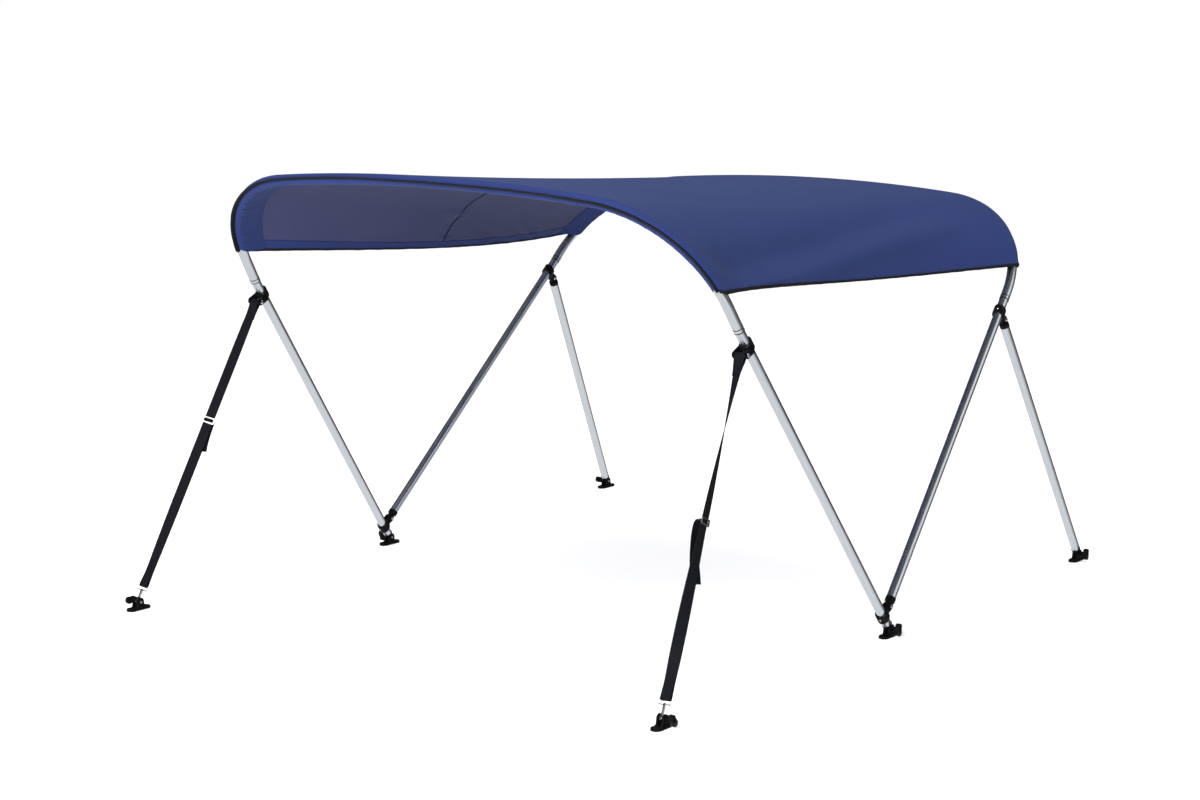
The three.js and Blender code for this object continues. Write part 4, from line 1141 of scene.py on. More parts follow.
class BIMINI_OT_edging(bpy.types.Operator):
    """Sew the piping along both bows and the binding along both side edges"""

    bl_idname = "bimini.edging"
    bl_label = "Piping and binding"

    def execute(self, context):
        for name in ("front", "rear"):
            self.piping(name)
        for name, side in SIDES:
            self.binding(name, side)
        return {"FINISHED"}

    def profile(self, width, thick):
        """A flat band's outline with a rounded edge, from the sleeve outward."""
        r = thick / 2
        points = [(0, -r), (0, r)]
        points += [(width - r + r * math.cos(a), r * math.sin(a))
                   for a in np.linspace(math.pi / 2, -math.pi / 2, 10)]
        return np.array(points)

    def piping(self, name):
        """The flat tape that stands out from a sleeve, rounded off at its two ends."""
        length = edge_length(BOWS[name])
        last = 0.996
        across = last * np.unique(np.concatenate([
            shares(0.009, 0.004), np.linspace(-1, -0.985, 12), np.linspace(0.985, 1, 12)]))
        angle = piping_angle(across, name)[:, None]
        centre, top, out = crossing(cornered(across, math.pi / 2))[name]
        away = top * np.cos(angle) + out * np.sin(angle)
        upward = top * np.sin(angle) - out * np.cos(angle)
        root = sleeve_reach(across[:, None], angle, name) - 0.0004
        corner = np.clip((np.abs(across) / last - 1) * length / 0.013 + 1, 0, 1)
        reach = (0.25 + 0.75 * np.sqrt(1 - corner ** 2))[:, None]
        outline = self.profile(0.0128, 0.0045)
        wave = (0.0003 * ripple(across * length * 120, 41))[:, None]
        sections = [centre + away * (root + w * reach) + upward * (h + wave) for w, h in outline]
        sections = np.stack(sections, 1)
        obj = sweep(f"{name}_piping_tape", sections, across * length, run_lengths(outline),
                    [look("edging")])
        settle(obj, "edging_fabric", f"{name}_piping")

    def edge_point(self, end, k, place, lift):
        """A point lifted off the cloth, a share k of the way along its span or around a bow."""
        if end == "span":
            return on_span(place, k, float(folds(place, k)[0]) + lift - 0.0001)[0]
        leave = float(leave_angle(np.array([1.0]))[0])
        stop = float(piping_angle(np.sign(place), end)[0]) - PIPING_ROOM
        angle = -leave + (stop + leave) * k
        sleeve = crossing(cornered(place, angle))[end]
        reach = float(sleeve_reach(place, angle, end)[0])
        return on_sleeve(sleeve, angle, reach + 0.0009 + lift)[0]

    def binding(self, name, side):
        """A folded tape over a side edge of the canopy, from piping to piping."""
        length = edge_length(BOWS["front"])
        half, wide = 0.0017, 0.0095
        near, far = 1 - wide / length, 1 - half / length
        outline = ((near, half), (far, half), (1, 0.0), (far, -half), (near, -half))
        around = np.array([0, wide - 0.0013, wide, wide + 0.0013, 2 * wide])
        places = [("front", k) for k in np.linspace(1, 0, 9)[:-1]]
        places += [("span", k) for k in np.linspace(0, 1, 121)]
        places += [("rear", k) for k in np.linspace(0, 1, 9)[1:]]
        sections = np.array([
            [self.edge_point(end, k, np.array([side * share]), lift) for share, lift in outline]
            for end, k in places])
        down = run_lengths(sections[:, 2])
        wave = 0.0003 * ripple(down * 120, 43 + side)
        sections = sections + np.array([0, 0, 1.0]) * wave[:, None, None]
        obj = sweep(f"{name}_binding_tape", sections, down, around, [look("edging")])
        settle(obj, "edging_fabric", f"{name}_binding")


class BIMINI_OT_seams(bpy.types.Operator):
    """Sew the pocket seams, the hems and the cross seam"""

    bl_idname = "bimini.seams"
    bl_label = "Stitched seams"

    def execute(self, context):
        for name, toward in (("front", -1), ("rear", 1)):
            self.pocket_seam(name, toward)
        self.hems()
        self.cross_seam()
        return {"FINISHED"}

    def line(self, across, place, under):
        """A line of points under the folded canopy."""
        return on_span(across, place, (folds(across, place) - under)[:, None])

    def pocket_seam(self, name, toward):
        across = shares(0.008, 0.003) * (cloth_edge() - 0.004)
        under = sizes().cloth_thick * 1.5 + 0.2 * MM
        bow_to_bow = 1.2
        lines = [self.line(across, seam_place(across, name) + inset / bow_to_bow * toward, under)
                 for inset in (2 * MM, 9.5 * MM)]
        stitched(f"{name}_seam_stitches", lines, "blue_thread", length=3.8 * MM, radius=0.55 * MM)

    def hems(self):
        places = np.linspace(0.04, 0.96, 150)
        inward = sizes().hem_width - BINDING_WIDTH - 1.5 * MM
        share = cloth_edge() - inward / edge_length(BOWS["front"])
        under = sizes().cloth_thick * 1.1 + 0.2 * MM
        lines = [self.line(np.full(len(places), side * share), places, under)
                 for _, side in SIDES]
        stitched("hem_stitches", lines, "blue_thread", length=3.6 * MM, radius=0.5 * MM)

    def cross_seam(self):
        across = shares(0.008, 0.004) * (cloth_edge() - 0.036)
        under = sizes().cloth_thick / 2 + 0.3 * MM
        lines = [self.line(across, place, under + seam_swell(across, place))
                 for place in CROSS_SEAM_ROWS]
        # Heavy black stitches in two close rows: real thread that also paints the shadow line of the
        # seam's fold.
        stitched("cross_seam_stitches", lines, "black_thread", length=4.2 * MM,
                 radius=0.75 * MM, pitch=3.8 * MM)


class BIMINI_OT_tubes(bpy.types.Operator):
    """Draw the arch tubes, legs and support poles"""

    bl_idname = "bimini.tubes"
    bl_label = "Tubes"

    def execute(self, context):
        joint = JOINT_GAP * MM
        foot, jaw = ((collar + COLLAR_PLAY) * MM for collar in (FOOT_COLLAR_TO, JAW_COLLAR_TO))
        for name, bow in BOWS.items():
            whole = arch_outline(bow)[-1] - joint
            points, _ = arch_at(bow, stepped((-whole, -0.45, 0.45, whole), (90, 50, 89)))
            self.tube(f"{name}_arch", points, sizes().arch_radius)
        for name, side in SIDES:
            at = side_places(side)
            self.straight(f"{name}_main_leg", at["main"], foot, joint)
            self.straight(f"{name}_rear_leg", at["rear"], jaw, joint)
            self.straight(f"{name}_pole", at["pole"], foot, jaw)
        return {"FINISHED"}

    def straight(self, node, line, start, short):
        """A tube along a leg's line, from a distance up it to a distance short of its end."""
        end = np.linalg.norm(line["ring"] - line["pin"]) - short
        points = [line["pin"] + line["along"] * (start + (end - start) * k / 8) for k in range(9)]
        self.tube(node, points, sizes().leg_radius)

    def tube(self, node, points, radius):
        obj = grown(f"{node}_tube", "tube", points, chain(len(points)), {
            "Radius": radius, "Sides": sizes().tube_sides, "Material": look("tube")})
        settle(obj, "tube_aluminium", node)


def hinge_shape():
    """A deck hinge: a base with round ends and countersunk holes, and two ears."""
    run, half, thick = 21, 12, 5.5
    screw_at, screw_r, head_r, sunk = 24, 2.5, 4.6, 2.1
    ear_near, ear_far, ear_r, pin_at = 4.8, 8.8, 10, PIN_HEIGHT / MM
    base = prism(arc(0, run, half, 0, 180) + arc(0, -run, half, 180, 360), 0, thick)
    adds, cuts = [base], []
    ear = [(-14.5, thick - 1.5), (14.5, thick - 1.5), (14.5, thick), (12.6, thick + 2),
           (11, thick + 5.5)]
    ear += arc(0, pin_at, ear_r, 0, 180, 24)
    ear += [(-11, thick + 5.5), (-12.6, thick + 2), (-14.5, thick)]
    for end in (-1, 1):
        screw = (0, end * screw_at)
        cuts.append(rod(screw_r, -1, thick + 1, at=screw, sides=24))
        cuts.append(cone(screw_r, head_r, thick - sunk, thick + 0.02, at=screw, sides=24))
        low, high = sorted((end * ear_near, end * ear_far))
        adds.append(prism(ear, low, high, "X"))
        cuts.append(rod(HOLE_R, low - 1, high + 1, "X", at=(0, pin_at), sides=24))
    return fused("deck_hinge", adds, cuts, bevel=0.7)


def knob_shape():
    """A thumb knob with two lobes, a waist and a round neck, along X from its hinge."""
    start, neck, neck_r, collar_r, thick = 9.5, 11, 5.5, 7.2, 9
    lobe_at, lobe_r, hole_r = 6, 8.5, 3.4
    lobes = arc(lobe_at, 0, lobe_r, -78, 78, 18) + [(2.0, 7.5), (-2.0, 7.5)]
    lobes += arc(-lobe_at, 0, lobe_r, 102, 258, 18) + [(-2.0, -7.5), (2.0, -7.5)]
    face = start + neck
    adds = [prism(lobes, face, face + thick, "X"), rod(neck_r, start, face + 1, "X"),
            rod(collar_r, face - 2.2, face + 1, "X")]
    cuts = [rod(hole_r, face + thick - 1.2, face + thick + 1, "X", sides=28)]
    return fused("thumb_knob", adds, cuts, bevel=1.1)


def pin_shape():
    """A hinge pin along X, a little longer than the ears are wide."""
    ears = 8.8
    return fused("hinge_pin", [rod(PIN_R, -ears - 1.6, ears + 0.4, "X", sides=28)], bevel=0.5)


def bolt_shape(gap):
    """A bolt along X with a domed head and a nut beyond the lugs."""
    face = gap / 2 + LUG_THICK + 0.3
    head_r, rim, high, nut_r, nut_thick = 5, 1.4, 3, 4.9, 2.6
    nut = arc(0, 0, nut_r, 0, 300, 5)
    adds = [rod(PIN_R, -face - nut_thick - 0.2, face + 1, "X", sides=28),
            prism(nut, -face - nut_thick, -face, "X"), rod(head_r, face, face + rim, "X"),
            cone(head_r, 3.4, face + rim, face + high, "X")]
    return fused("jaw_bolt", adds, bevel=0.45)


def eye_shape(pin_axis, along, collar_to):
    """An eye end at its pin: a flat tongue across the pin, and a collar over the tube's end."""
    half = EYE_THICK / 2
    tongue = [(EYE_R, COLLAR_FROM + 2), (-EYE_R, COLLAR_FROM + 2)] + arc(0, 0, EYE_R, 180, 360, 24)
    upright = unit(along - pin_axis * np.dot(along, pin_axis))
    turn = frame_matrix((0, 0, 0), pin_axis, np.cross(upright, pin_axis), upright)
    plate = prism(tongue, -half, half, "X")
    hole = rod(HOLE_R, -2 * half, 2 * half, "X", sides=24)
    for shape in (plate, hole):
        bmesh.ops.transform(shape, matrix=turn, verts=shape.verts)
    across = unit(pin_axis - along * np.dot(pin_axis, along))
    lean = frame_matrix((0, 0, 0), across, np.cross(along, across), along)
    collar = rod(COLLAR_R, COLLAR_FROM, collar_to)
    bmesh.ops.transform(collar, matrix=lean, verts=collar.verts)
    return fused("eye_end", [plate, collar], [hole], bevel=0.6)


def jaw_shape(gap, reach, lean):
    """A slide: a slanted band around its leg, which is along Z, with two lugs toward +Y."""
    band_r, bore_r, lug_r = 15.4, 11.4, 8
    far, tilt, height = band_r + 1, 5, 9.5
    slant = [(-far, lean * tilt - height), (far, -lean * tilt - height),
             (far, -lean * tilt + height), (-far, lean * tilt + height)]
    band = fused("band", [rod(band_r, -30, 30, sides=48)],
                 keep=[prism(slant, -far, far, "X")], bevel=0)
    shell = bmesh.new()
    shell.from_mesh(band)
    bpy.data.meshes.remove(band)
    lug = [(4, lug_r - lean * 4), (4, -lug_r - lean * 4)] + arc(reach, 0, lug_r, -90, 90, 20)
    adds, cuts = [shell], [rod(bore_r, -40, 40, sides=48)]
    for end in (-1, 1):
        low, high = sorted((end * gap / 2, end * (gap / 2 + LUG_THICK)))
        adds.append(prism(lug, low, high, "X"))
        cuts.append(rod(HOLE_R, low - 1, high + 1, "X", at=(reach, 0), sides=24))
    return fused("jaw_slide", adds, cuts, bevel=0.7)


class BIMINI_OT_deck_hinges(bpy.types.Operator):
    """Make the six deck hinges with their pins and thumb knobs"""

    bl_idname = "bimini.deck_hinges"
    bl_label = "Deck hinges"

    def execute(self, context):
        hinge, knob, pin = hinge_shape(), knob_shape(), pin_shape()
        for name, side in SIDES:
            for place, at in side_places(side)["pins"].items():
                label = f"{name}_{place}"
                obj = placed(f"{label}_deck_hinge", hinge,
                             Matrix.Translation((at[0], at[1], 0)), look("nylon"))
                settle(obj, "nylon_black", f"{label}_hinge")
                outward = np.array([side, 0.0, 0.0])
                screw = f"{label}_thumb_screw"
                obj = placed(f"{label}_hinge_pin", pin, frame_matrix(
                    at, outward, (0, side, 0), (0, 0, 1)), look("bright"))
                settle(obj, "bright_steel", f"{label}_pin", body=screw)
                turn = math.radians(KNOB_TURNS[name][place])
                long_way = np.array([0, math.cos(turn), math.sin(turn)])
                obj = placed(f"{label}_thumb_knob", knob, frame_matrix(
                    at, outward, long_way, np.cross(outward, long_way)), look("nylon"))
                settle(obj, "nylon_black", f"{label}_knob", body=screw)
        return {"FINISHED"}


def screw_head_shape():
    """A small domed screw head with a cross slot, standing on the ground."""
    slots = [prism([(-a, -b), (a, -b), (a, b), (-a, b)], 1.0, 2) for a, b in ((2, 0.3), (0.3, 2))]
    dome = [rod(2.5, 0, 0.9, sides=20), cone(2.5, 1.5, 0.9, 1.6, sides=20)]
    return fused("screw_head", dome, slots, bevel=0)


class BIMINI_OT_fittings(bpy.types.Operator):
    """Fit the nylon eye ends, jaw slides and dark joint rings, which paint the joints' shadow lines,
    with their bolts and set screws
    """

    bl_idname = "bimini.fittings"
    bl_label = "Eye ends and jaw slides"

    def execute(self, context):
        screws = []
        for name, side in SIDES:
            at = side_places(side)
            self.eye_ends(name, at)
            screws += self.jaw_slides(name, side, at)
        points, facing = zip(*screws)
        copies("jaw_set_screws", screw_head_shape(), points, facing, "bright", "bright_steel")
        self.joint_shadow_rings()
        return {"FINISHED"}

    def eye_ends(self, name, at):
        """Each tube end's eye on its pin: where it is, its pin's direction and its tube's."""
        x_axis = np.array([1.0, 0, 0])
        main, rear, pole = at["main"], at["rear"], at["pole"]
        for label, pin, axis, along, collar_to in (
                ("main", at["pins"]["main"], x_axis, main["along"], FOOT_COLLAR_TO),
                ("rear", rear["pin"], main["across"], rear["along"], JAW_COLLAR_TO),
                ("pole_foot", at["pins"]["pole"], x_axis, pole["along"], FOOT_COLLAR_TO),
                ("pole_top", at["pole_bolt"], rear["across"], -pole["along"], JAW_COLLAR_TO)):
            obj = placed(f"{name}_{label}_eye_end", eye_shape(axis, along, collar_to),
                         Matrix.Translation(pin), look("nylon"))
            settle(obj, "nylon_black", f"{name}_{label}_eye")

    def jaw_slides(self, name, side, at):
        """The slides on the legs with their bolts; gives their set screws' places and facings."""
        screws = []
        for label, line, place, gap, reach, toward, lean in (
                ("low", at["main"], LOW_JAW_AT, EYE_GAP, LOW_LUG_REACH, 1, -1),
                ("strap", at["main"], STRAP_JAW_AT, STRAP_GAP, LUG_REACH, -1, 1),
                ("pole", at["rear"], POLE_JAW_AT, EYE_GAP, LUG_REACH, 1, 1)):
            centre = line["pin"] + line["along"] * place
            lugs = line["back"] * toward
            across = np.cross(lugs, line["along"])
            obj = placed(f"{name}_{label}_jaw_slide", jaw_shape(gap, reach / MM, lean),
                         frame_matrix(centre, across, lugs, line["along"]), look("nylon"))
            settle(obj, "nylon_black", f"{name}_{label}_jaw")
            obj = placed(f"{name}_{label}_jaw_bolt", bolt_shape(gap),
                         frame_matrix(centre + lugs * reach, across, lugs, line["along"]),
                         look("bright"))
            settle(obj, "bright_steel", f"{name}_{label}_bolt")
            if label != "strap":
                outward = unit(np.array([0.1 * side, 0, 0]) - 0.9 * lugs)
                seat = centre + line["along"] * lean * MM + outward * 14.8 * MM
                screws.append((seat, outward))
        return screws

    def joint_shadow_rings(self):
        """Two dark rings around each place where an arch meets its leg: painted shadow lines of the
        joint's gap.
        """
        points, facing = [], []
        for _, side in SIDES:
            for bow in BOWS.values():
                whole = arch_outline(bow)[-1]
                point, direction = arch_at(bow, [side * (whole - back) for back in (0.0003, 0.009)])
                points += list(point)
                facing += list(direction)
        # Black nylon bands put where the joint only shows a shadow line: painted shadow.
        band = fused("joint_ring", [rod(12.2, -0.9, 0.9)], [rod(10.8, -2, 2)], bevel=0.2)
        copies("tube_joint_rings", band, points, facing, "nylon", "nylon_black")


def strap_line(side):
    """A strap's own frame: its bolt, and the directions down, across and to its front."""
    at = side_places(side)
    hook_pin = at["pins"]["strap"] + np.array([-0.0022, 0, 0])
    down = unit(hook_pin - at["strap_bolt"])
    across = unit(np.array([1.0, 0, 0]) - down * down[0])
    front = unit(np.cross(down, across))
    length = np.linalg.norm(hook_pin - at["strap_bolt"]) / MM - LOOP_AT
    return dict(bolt=at["strap_bolt"], hook=hook_pin, down=down, across=across, front=front,
                length=length)


def strap_turn(strap, at):
    """The webbing's turn about its line, at places down the strap."""
    places, turns = zip(*strap["turns"])
    return np.radians(np.interp(at, places, turns))


def turned(v, axis, angle):
    """A vector turned about a unit axis."""
    angle = np.asarray(angle)[..., None]
    return v * np.cos(angle) + np.cross(axis, v) * np.sin(angle) \
        + axis * dot(axis, v) * (1 - np.cos(angle))


def spread(points, step):
    """Points of a smooth curve through the given rows, a step apart."""
    points = np.asarray(points, float)
    ahead = np.vstack([2 * points[0] - points[1], points, 2 * points[-1] - points[-2]])
    out = []
    for k in range(len(points) - 1):
        p0, p1, p2, p3 = ahead[k:k + 4]
        count = max(1, int(np.ceil(np.linalg.norm((p2 - p1)[:3]) / step)))
        t = np.linspace(0, 1, count, endpoint=False)[:, None]
        out.append(0.5 * (2 * p1 + (p2 - p0) * t + (2 * p0 - 5 * p1 + 4 * p2 - p3) * t ** 2
                          + (3 * p1 - p0 - 3 * p2 + p3) * t ** 3))
    return np.vstack([*out, points[-1:]])


class BIMINI_OT_straps(bpy.types.Operator):
    """Lace the webbing around the bolt, the hook's loop and the slider, with its tail"""

    bl_idname = "bimini.straps"
    bl_label = "Strap webbing"

    def even(self, start, end, ahead):
        """Eight places down the strap at one distance ahead of its line."""
        return [(start + (end - start) * k / 7, ahead) for k in range(8)]

    def run(self, length, slider, thick):
        """Places down the strap and ahead of its line, in millimetres.

        From the doubled top, around the bolt, down through the slider's front, around the hook's
        loop, and up behind to the slider's bar.
        """
        layer = thick + 0.4
        around_bolt = PIN_R + thick / 2 + 1.5
        around_wire = WIRE_R + thick / 2 + 1.1
        bar = layer + thick / 2 + 2
        around_bar = bar - layer
        half_turn = np.linspace(0, math.pi, 7)
        run = [(45, -layer), (34, -layer), (20, -2.9), (9, -4.6)]
        run += [(-around_bolt * math.sin(a), -around_bolt * math.cos(a)) for a in half_turn]
        run += [(12, 3.6), (26, 1.4), (40, 0.2)]
        run += self.even(60, slider - 20, 0)
        run += [(slider, 0)]
        run += self.even(slider + 20, length - 40, 0)
        run += [(length - 14, 2.2)]
        run += [(length + around_wire * math.sin(a), around_wire * math.cos(a))
                for a in half_turn]
        run += [(length - 14, -2.9)]
        run += self.even(length - 40, slider + 20, -layer)
        run += [(slider - around_bar * math.sin(a), -bar + around_bar * math.cos(a))
                for a in np.linspace(0, math.pi, 5)]
        return run

    def outline(self):
        """The webbing's cross-section, with slightly rounded edges."""
        half, r = sizes().webbing_width / 2, sizes().webbing_thick / 2
        flat = np.linspace(-half + r, half - r, 9)
        edge = [(half - r * 0.3, r * 0.7), (half, 0), (half - r * 0.3, -r * 0.7)]
        return [(w, r) for w in flat] + edge + [(w, -r) for w in -flat] \
            + [(-w, -n) for w, n in edge]

    def execute(self, context):
        thick = sizes().webbing_thick / MM
        outline = self.outline()
        for name, side in SIDES:
            strap, line = STRAPS[name], strap_line(side)
            stations = [(at, ahead, 0.0, strap_turn(strap, at))
                        for at, ahead in self.run(line["length"], strap["slider"], thick)]
            stations += [(strap["slider"] + down, -out, aside, math.radians(turn))
                         for down, out, aside, turn in strap["tail"]]
            at, ahead, aside, turn = spread(stations, step=3.0).T
            across = turned(np.broadcast_to(line["across"], (len(at), 3)), line["down"], turn)
            front = turned(np.broadcast_to(line["front"], (len(at), 3)), line["down"], turn)
            point = line["bolt"] + MM * (line["down"] * at[:, None]
                                         - front * (strap["face"] * ahead)[:, None]
                                         + across * aside[:, None])
            along = unit(np.gradient(point, axis=0))
            face = unit(np.cross(along, across))
            wide = unit(np.cross(face, along))
            sections = np.stack([point + wide * w + face * n for w, n in outline], 1)
            run = run_lengths(point)
            obj = sweep(f"{name}_strap_webbing", sections, run,
                        np.array([w for w, _ in outline]), [look("webbing")], sharp=60)
            settle(obj, "webbing_fabric", f"{name}_strap")
        return {"FINISHED"}


class BIMINI_OT_strap_fittings(bpy.types.Operator):
    """Bend the hook with its loop, and the strap slider"""

    bl_idname = "bimini.strap_fittings"
    bl_label = "Strap hooks and sliders"

    def hook(self):
        """A flat hook on the hinge pin with a wire loop, its pull along Z."""
        low, high, half, corner, sides = 26.7, LOOP_AT + WIRE_R, 15.9, 4.2, 14
        bend_x, bend_low, bend_high = half - corner, low + corner, high - corner
        outline = []
        for x, z, start in ((bend_x, bend_high, 0), (-bend_x, bend_high, 90),
                            (-bend_x, bend_low, 180), (bend_x, bend_low, 270)):
            outline += arc(x, z, corner - WIRE_R, start, start + 90, 6)
        ring = bmesh.new()
        rows = []
        for k, (x, z) in enumerate(outline):
            before, after = Vector(outline[k - 1]), Vector(outline[(k + 1) % len(outline)])
            along = (after - before).normalized()
            normal = Vector((along.y, -along.x))
            angles = [2 * math.pi * j / sides for j in range(sides)]
            rows.append([ring.verts.new((x + normal.x * WIRE_R * math.cos(a), WIRE_R * math.sin(a),
                                         z + normal.y * WIRE_R * math.cos(a))) for a in angles])
        for k, row in enumerate(rows):
            after = rows[(k + 1) % len(rows)]
            for j in range(sides):
                beside = (j + 1) % sides
                ring.faces.new([row[j], row[beside], after[beside], after[j]])
        bmesh.ops.recalc_face_normals(ring, faces=ring.faces)
        shank_r, eye_r, thick = 3.2, 6.8, 3.2
        shank = arc(0, 28, shank_r, 0, 180, 10) + [(-shank_r, 6)] + arc(0, 0, eye_r, 117, 423, 24)
        return fused("strap_hook", [prism(shank, -thick / 2, thick / 2, "X"), ring],
                     [rod(PIN_R + 0.75, -thick, thick, "X", sides=24)], bevel=0.3)

    def slider(self, front, bar):
        """A frame in front of the webbing and a bar behind it, the strap along Z."""
        half_width, half_length, thick, corner, bar_r = 16, 7.5, 2.4, 2, 1.4
        bend_x, bend_z = half_width - corner, half_length - corner
        outline = []
        for x, z, start in ((bend_x, bend_z, 0), (-bend_x, bend_z, 90), (-bend_x, -bend_z, 180),
                            (bend_x, -bend_z, 270)):
            outline += arc(x, z, corner, start, start + 90, 6)
        x, z = half_width - 3.4, half_length - 3.2
        window = [(-x, -z), (x, -z), (x, z), (-x, z)]
        adds = [prism(outline, front - thick / 2, front + thick / 2, "Y"),
                rod(bar_r, -half_width + 0.3, half_width - 0.3, "X", at=(bar, 0), sides=24)]
        for end in (-1, 1):
            near, far = sorted((end * (half_width - 2.6), end * (half_width - 0.2)))
            adds.append(prism([(near, front), (far, front), (far, bar), (near, bar)],
                              -thick / 2, thick / 2))
        return fused("slider", adds, [prism(window, front - 3, front + 3, "Y")], bevel=0.5)

    def execute(self, context):
        thick = sizes().webbing_thick / MM
        in_front, behind = -(thick / 2 + 1.5), thick * 1.5 + 2.4
        hook, slider = self.hook(), self.slider(in_front, behind)
        for name, side in SIDES:
            strap, line = STRAPS[name], strap_line(side)
            up = -line["down"]
            obj = placed(f"{name}_strap_hook_loop", hook, frame_matrix(
                line["hook"], line["across"], np.cross(up, line["across"]), up), look("bright"))
            settle(obj, "bright_steel", f"{name}_strap_hook")
            turn = strap_turn(strap, strap["slider"]) + (math.pi if strap["face"] > 0 else 0)
            across = turned(line["across"], line["down"], turn)
            at = line["bolt"] + line["down"] * strap["slider"] * MM
            metal, slot = ("plated", "bright_steel") if name == "left" else ("dull", "dull_steel")
            obj = placed(f"{name}_strap_slider", slider, frame_matrix(
                at, across, np.cross(up, across), up), look(metal))
            settle(obj, slot, f"{name}_slider")
        return {"FINISHED"}


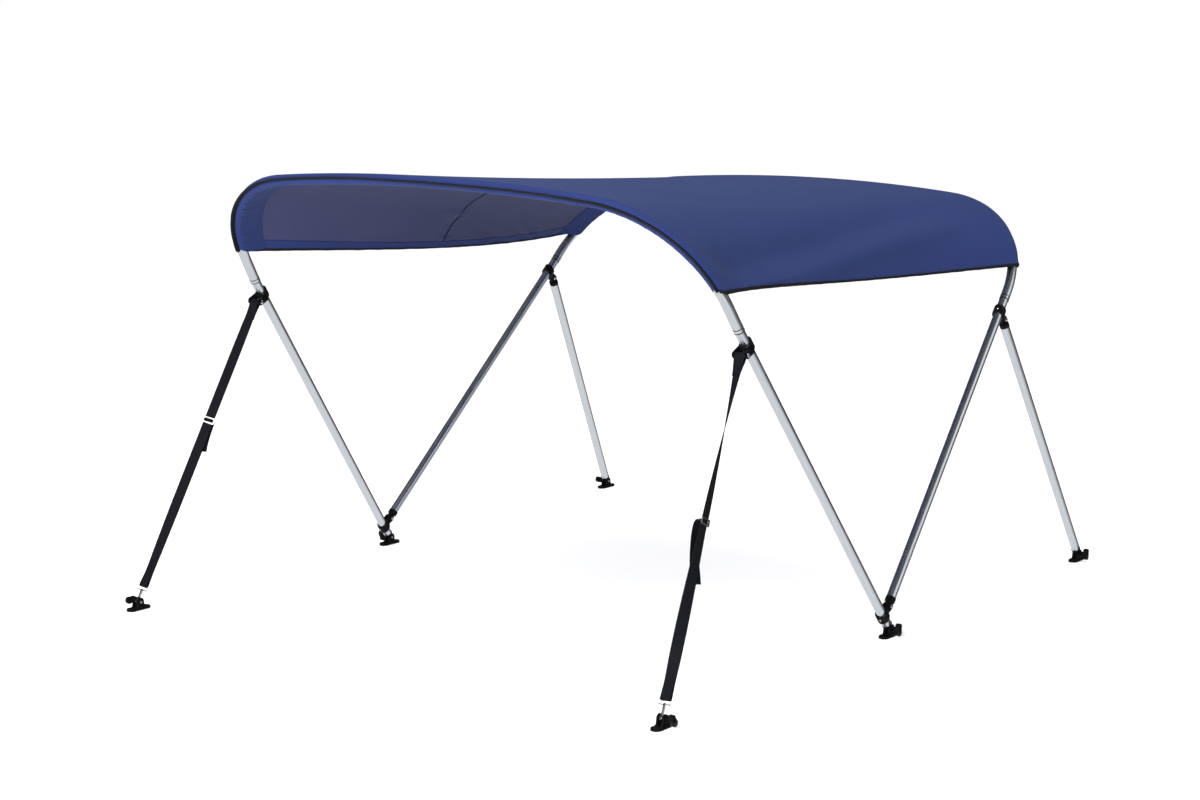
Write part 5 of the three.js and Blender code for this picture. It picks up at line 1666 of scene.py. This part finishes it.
class BIMINI_OT_stage(bpy.types.Operator):
    """Set the pale floor, the soft lights and the camera"""

    bl_idname = "bimini.stage"
    bl_label = "Stage"

    def execute(self, context):
        scene = context.scene
        material, _, shader = finish("pale_floor", Roughness=0.9, Specular_IOR_Level=0.1)
        shader.inputs["Base Color"].default_value = rgba(colours().floor)
        reach, under = 40, -0.4 * MM
        corners = [(x * reach, y * reach, under) for x, y in ((-1, -1), (1, -1), (1, 1), (-1, 1))]
        floor = mesh_object("floor", corners, [(0, 1, 2, 3)], [material])
        floor.visible_glossy = False
        self.camera(scene)
        self.lights(scene)
        return {"FINISHED"}

    def camera(self, scene):
        """The photograph's view: 37 degrees to the right of straight ahead and 9.5 above."""
        azimuth, elevation, roll = (math.radians(a) for a in (37.10, 9.516, 0.244))
        aim, aside, distance = Vector((0, -0.034, 0.4636)), -0.05244, 5.8558
        photo_width, lens_pixels = 1200, 2414
        right = Vector((math.cos(azimuth), math.sin(azimuth), 0))
        back = Vector((math.sin(azimuth) * math.cos(elevation),
                       -math.cos(azimuth) * math.cos(elevation), math.sin(elevation)))
        up = back.cross(right)
        place = right * aside + aim + back * distance
        cam_right = right * math.cos(roll) + up * math.sin(roll)
        cam_up = up * math.cos(roll) - right * math.sin(roll)
        data = bpy.data.cameras.new("camera")
        data.sensor_width = 36
        data.lens = data.sensor_width * lens_pixels / photo_width
        data.clip_start, data.clip_end = 0.1, 200
        camera = bpy.data.objects.new("camera", data)
        camera.matrix_world = frame_matrix(place, cam_right, cam_up, back)
        scene.collection.objects.link(camera)
        scene.camera = camera

    def lights(self, scene):
        """Three round soft lamps; only the key lamp shows in what metal mirrors."""
        self.studio(scene)
        for name, place, aim, size, watts in (
                ("key", (1.6, -5.0, 2.4), (0, -0.3, 0.8), 2.6, 420),
                ("low", (-1.5, -3.8, 0.25), (-0.2, 0, 0.95), 1.5, 55),
                ("top", (0.1, 1.2, 4.2), (0.1, 0, 0.8), 2.2, 70)):
            data = bpy.data.lights.new(name, "AREA")
            data.shape, data.size, data.energy = "DISK", size, watts
            light = bpy.data.objects.new(name, data)
            light.location = place
            light.rotation_euler = (Vector(place) - Vector(aim)).to_track_quat("Z", "Y").to_euler()
            light.visible_glossy = name == "key"
            scene.collection.objects.link(light)
        scene.view_settings.view_transform = "Standard"

    def studio(self, scene):
        """White behind the object, light from all around that grows with height, and, in what
        metal mirrors, a dark ceiling with one soft box and a pale ground with two dark screens.
        """
        world = bpy.data.worlds.new("studio")
        world.use_nodes = True
        scene.world = world
        tree = world.node_tree
        tree.nodes.clear()
        way = add(tree, "ShaderNodeTexCoord").outputs["Object"]
        height = add(tree, "ShaderNodeSeparateXYZ", {"Vector": way}).outputs["Z"]

        def toward(direction, start, full):
            facing = add(tree, "ShaderNodeVectorMath", {0: way, 1: direction},
                         operation="DOT_PRODUCT").outputs["Value"]
            return ranged(tree, facing, start, full, 0, 1)

        soft_box = toward((0.84, 0.3, 0.45), 0.88, 0.96)
        ceiling = sums(tree, "ADD", sums(tree, "MULTIPLY", soft_box, 0.9), 0.08)
        screens = sums(tree, "MAXIMUM", toward((0.97, 0.1, -0.12), 0.9, 0.97),
                       toward((-0.86, 0.46, -0.1), 0.9, 0.97))
        ground = sums(tree, "SUBTRACT", 0.9, sums(tree, "MULTIPLY", screens, 0.72))
        above = ranged(tree, height, -0.42, -0.12, 0, 1)
        mirrored = mixed(tree, above, ground, ceiling)
        path = add(tree, "ShaderNodeLightPath")
        even = ranged(tree, height, 0, 1, 0.6, 1.34)
        seen = mixed(tree, path.outputs["Is Glossy Ray"], even, mirrored)
        seen = mixed(tree, path.outputs["Is Camera Ray"], seen, (1, 1, 1, 1))
        sky_light = add(tree, "ShaderNodeBackground", {"Color": seen})
        out = add(tree, "ShaderNodeOutputWorld")
        tree.links.new(sky_light.outputs["Background"], out.inputs["Surface"])


class BIMINI_PT_panel(bpy.types.Panel):
    """Lists the pieces of the bimini top"""

    bl_idname = "BIMINI_PT_panel"
    bl_label = "Bimini top"
    bl_space_type = "VIEW_3D"
    bl_region_type = "UI"
    bl_category = "Bimini"

    def draw(self, context):
        for group in (context.scene.bimini_sizes, context.scene.bimini_colours):
            box = self.layout.box()
            for key in group.__annotations__:
                box.prop(group, key)
        for operator in PIECES:
            self.layout.operator(operator.bl_idname)


PIECES = (BIMINI_OT_edging, BIMINI_OT_canopy, BIMINI_OT_sleeves, BIMINI_OT_seams, BIMINI_OT_tubes,
          BIMINI_OT_deck_hinges, BIMINI_OT_fittings, BIMINI_OT_straps, BIMINI_OT_strap_fittings,
          BIMINI_OT_stage)
CLASSES = (BiminiSizes, BiminiColours, *PIECES, BIMINI_PT_panel)


def register():
    """Registers the classes and puts the sizes and colours on the scene."""
    for item in CLASSES:
        bpy.utils.register_class(item)
    bpy.types.Scene.bimini_sizes = bpy.props.PointerProperty(type=BiminiSizes)
    bpy.types.Scene.bimini_colours = bpy.props.PointerProperty(type=BiminiColours)


def unregister():
    del bpy.types.Scene.bimini_colours
    del bpy.types.Scene.bimini_sizes
    for item in reversed(CLASSES):
        bpy.utils.unregister_class(item)


def main():
    """Makes every piece and the stage."""
    register()
    for operator in PIECES:
        family, name = operator.bl_idname.split(".")
        getattr(getattr(bpy.ops, family), name)()
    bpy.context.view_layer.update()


if __name__ == "__main__":
    main()
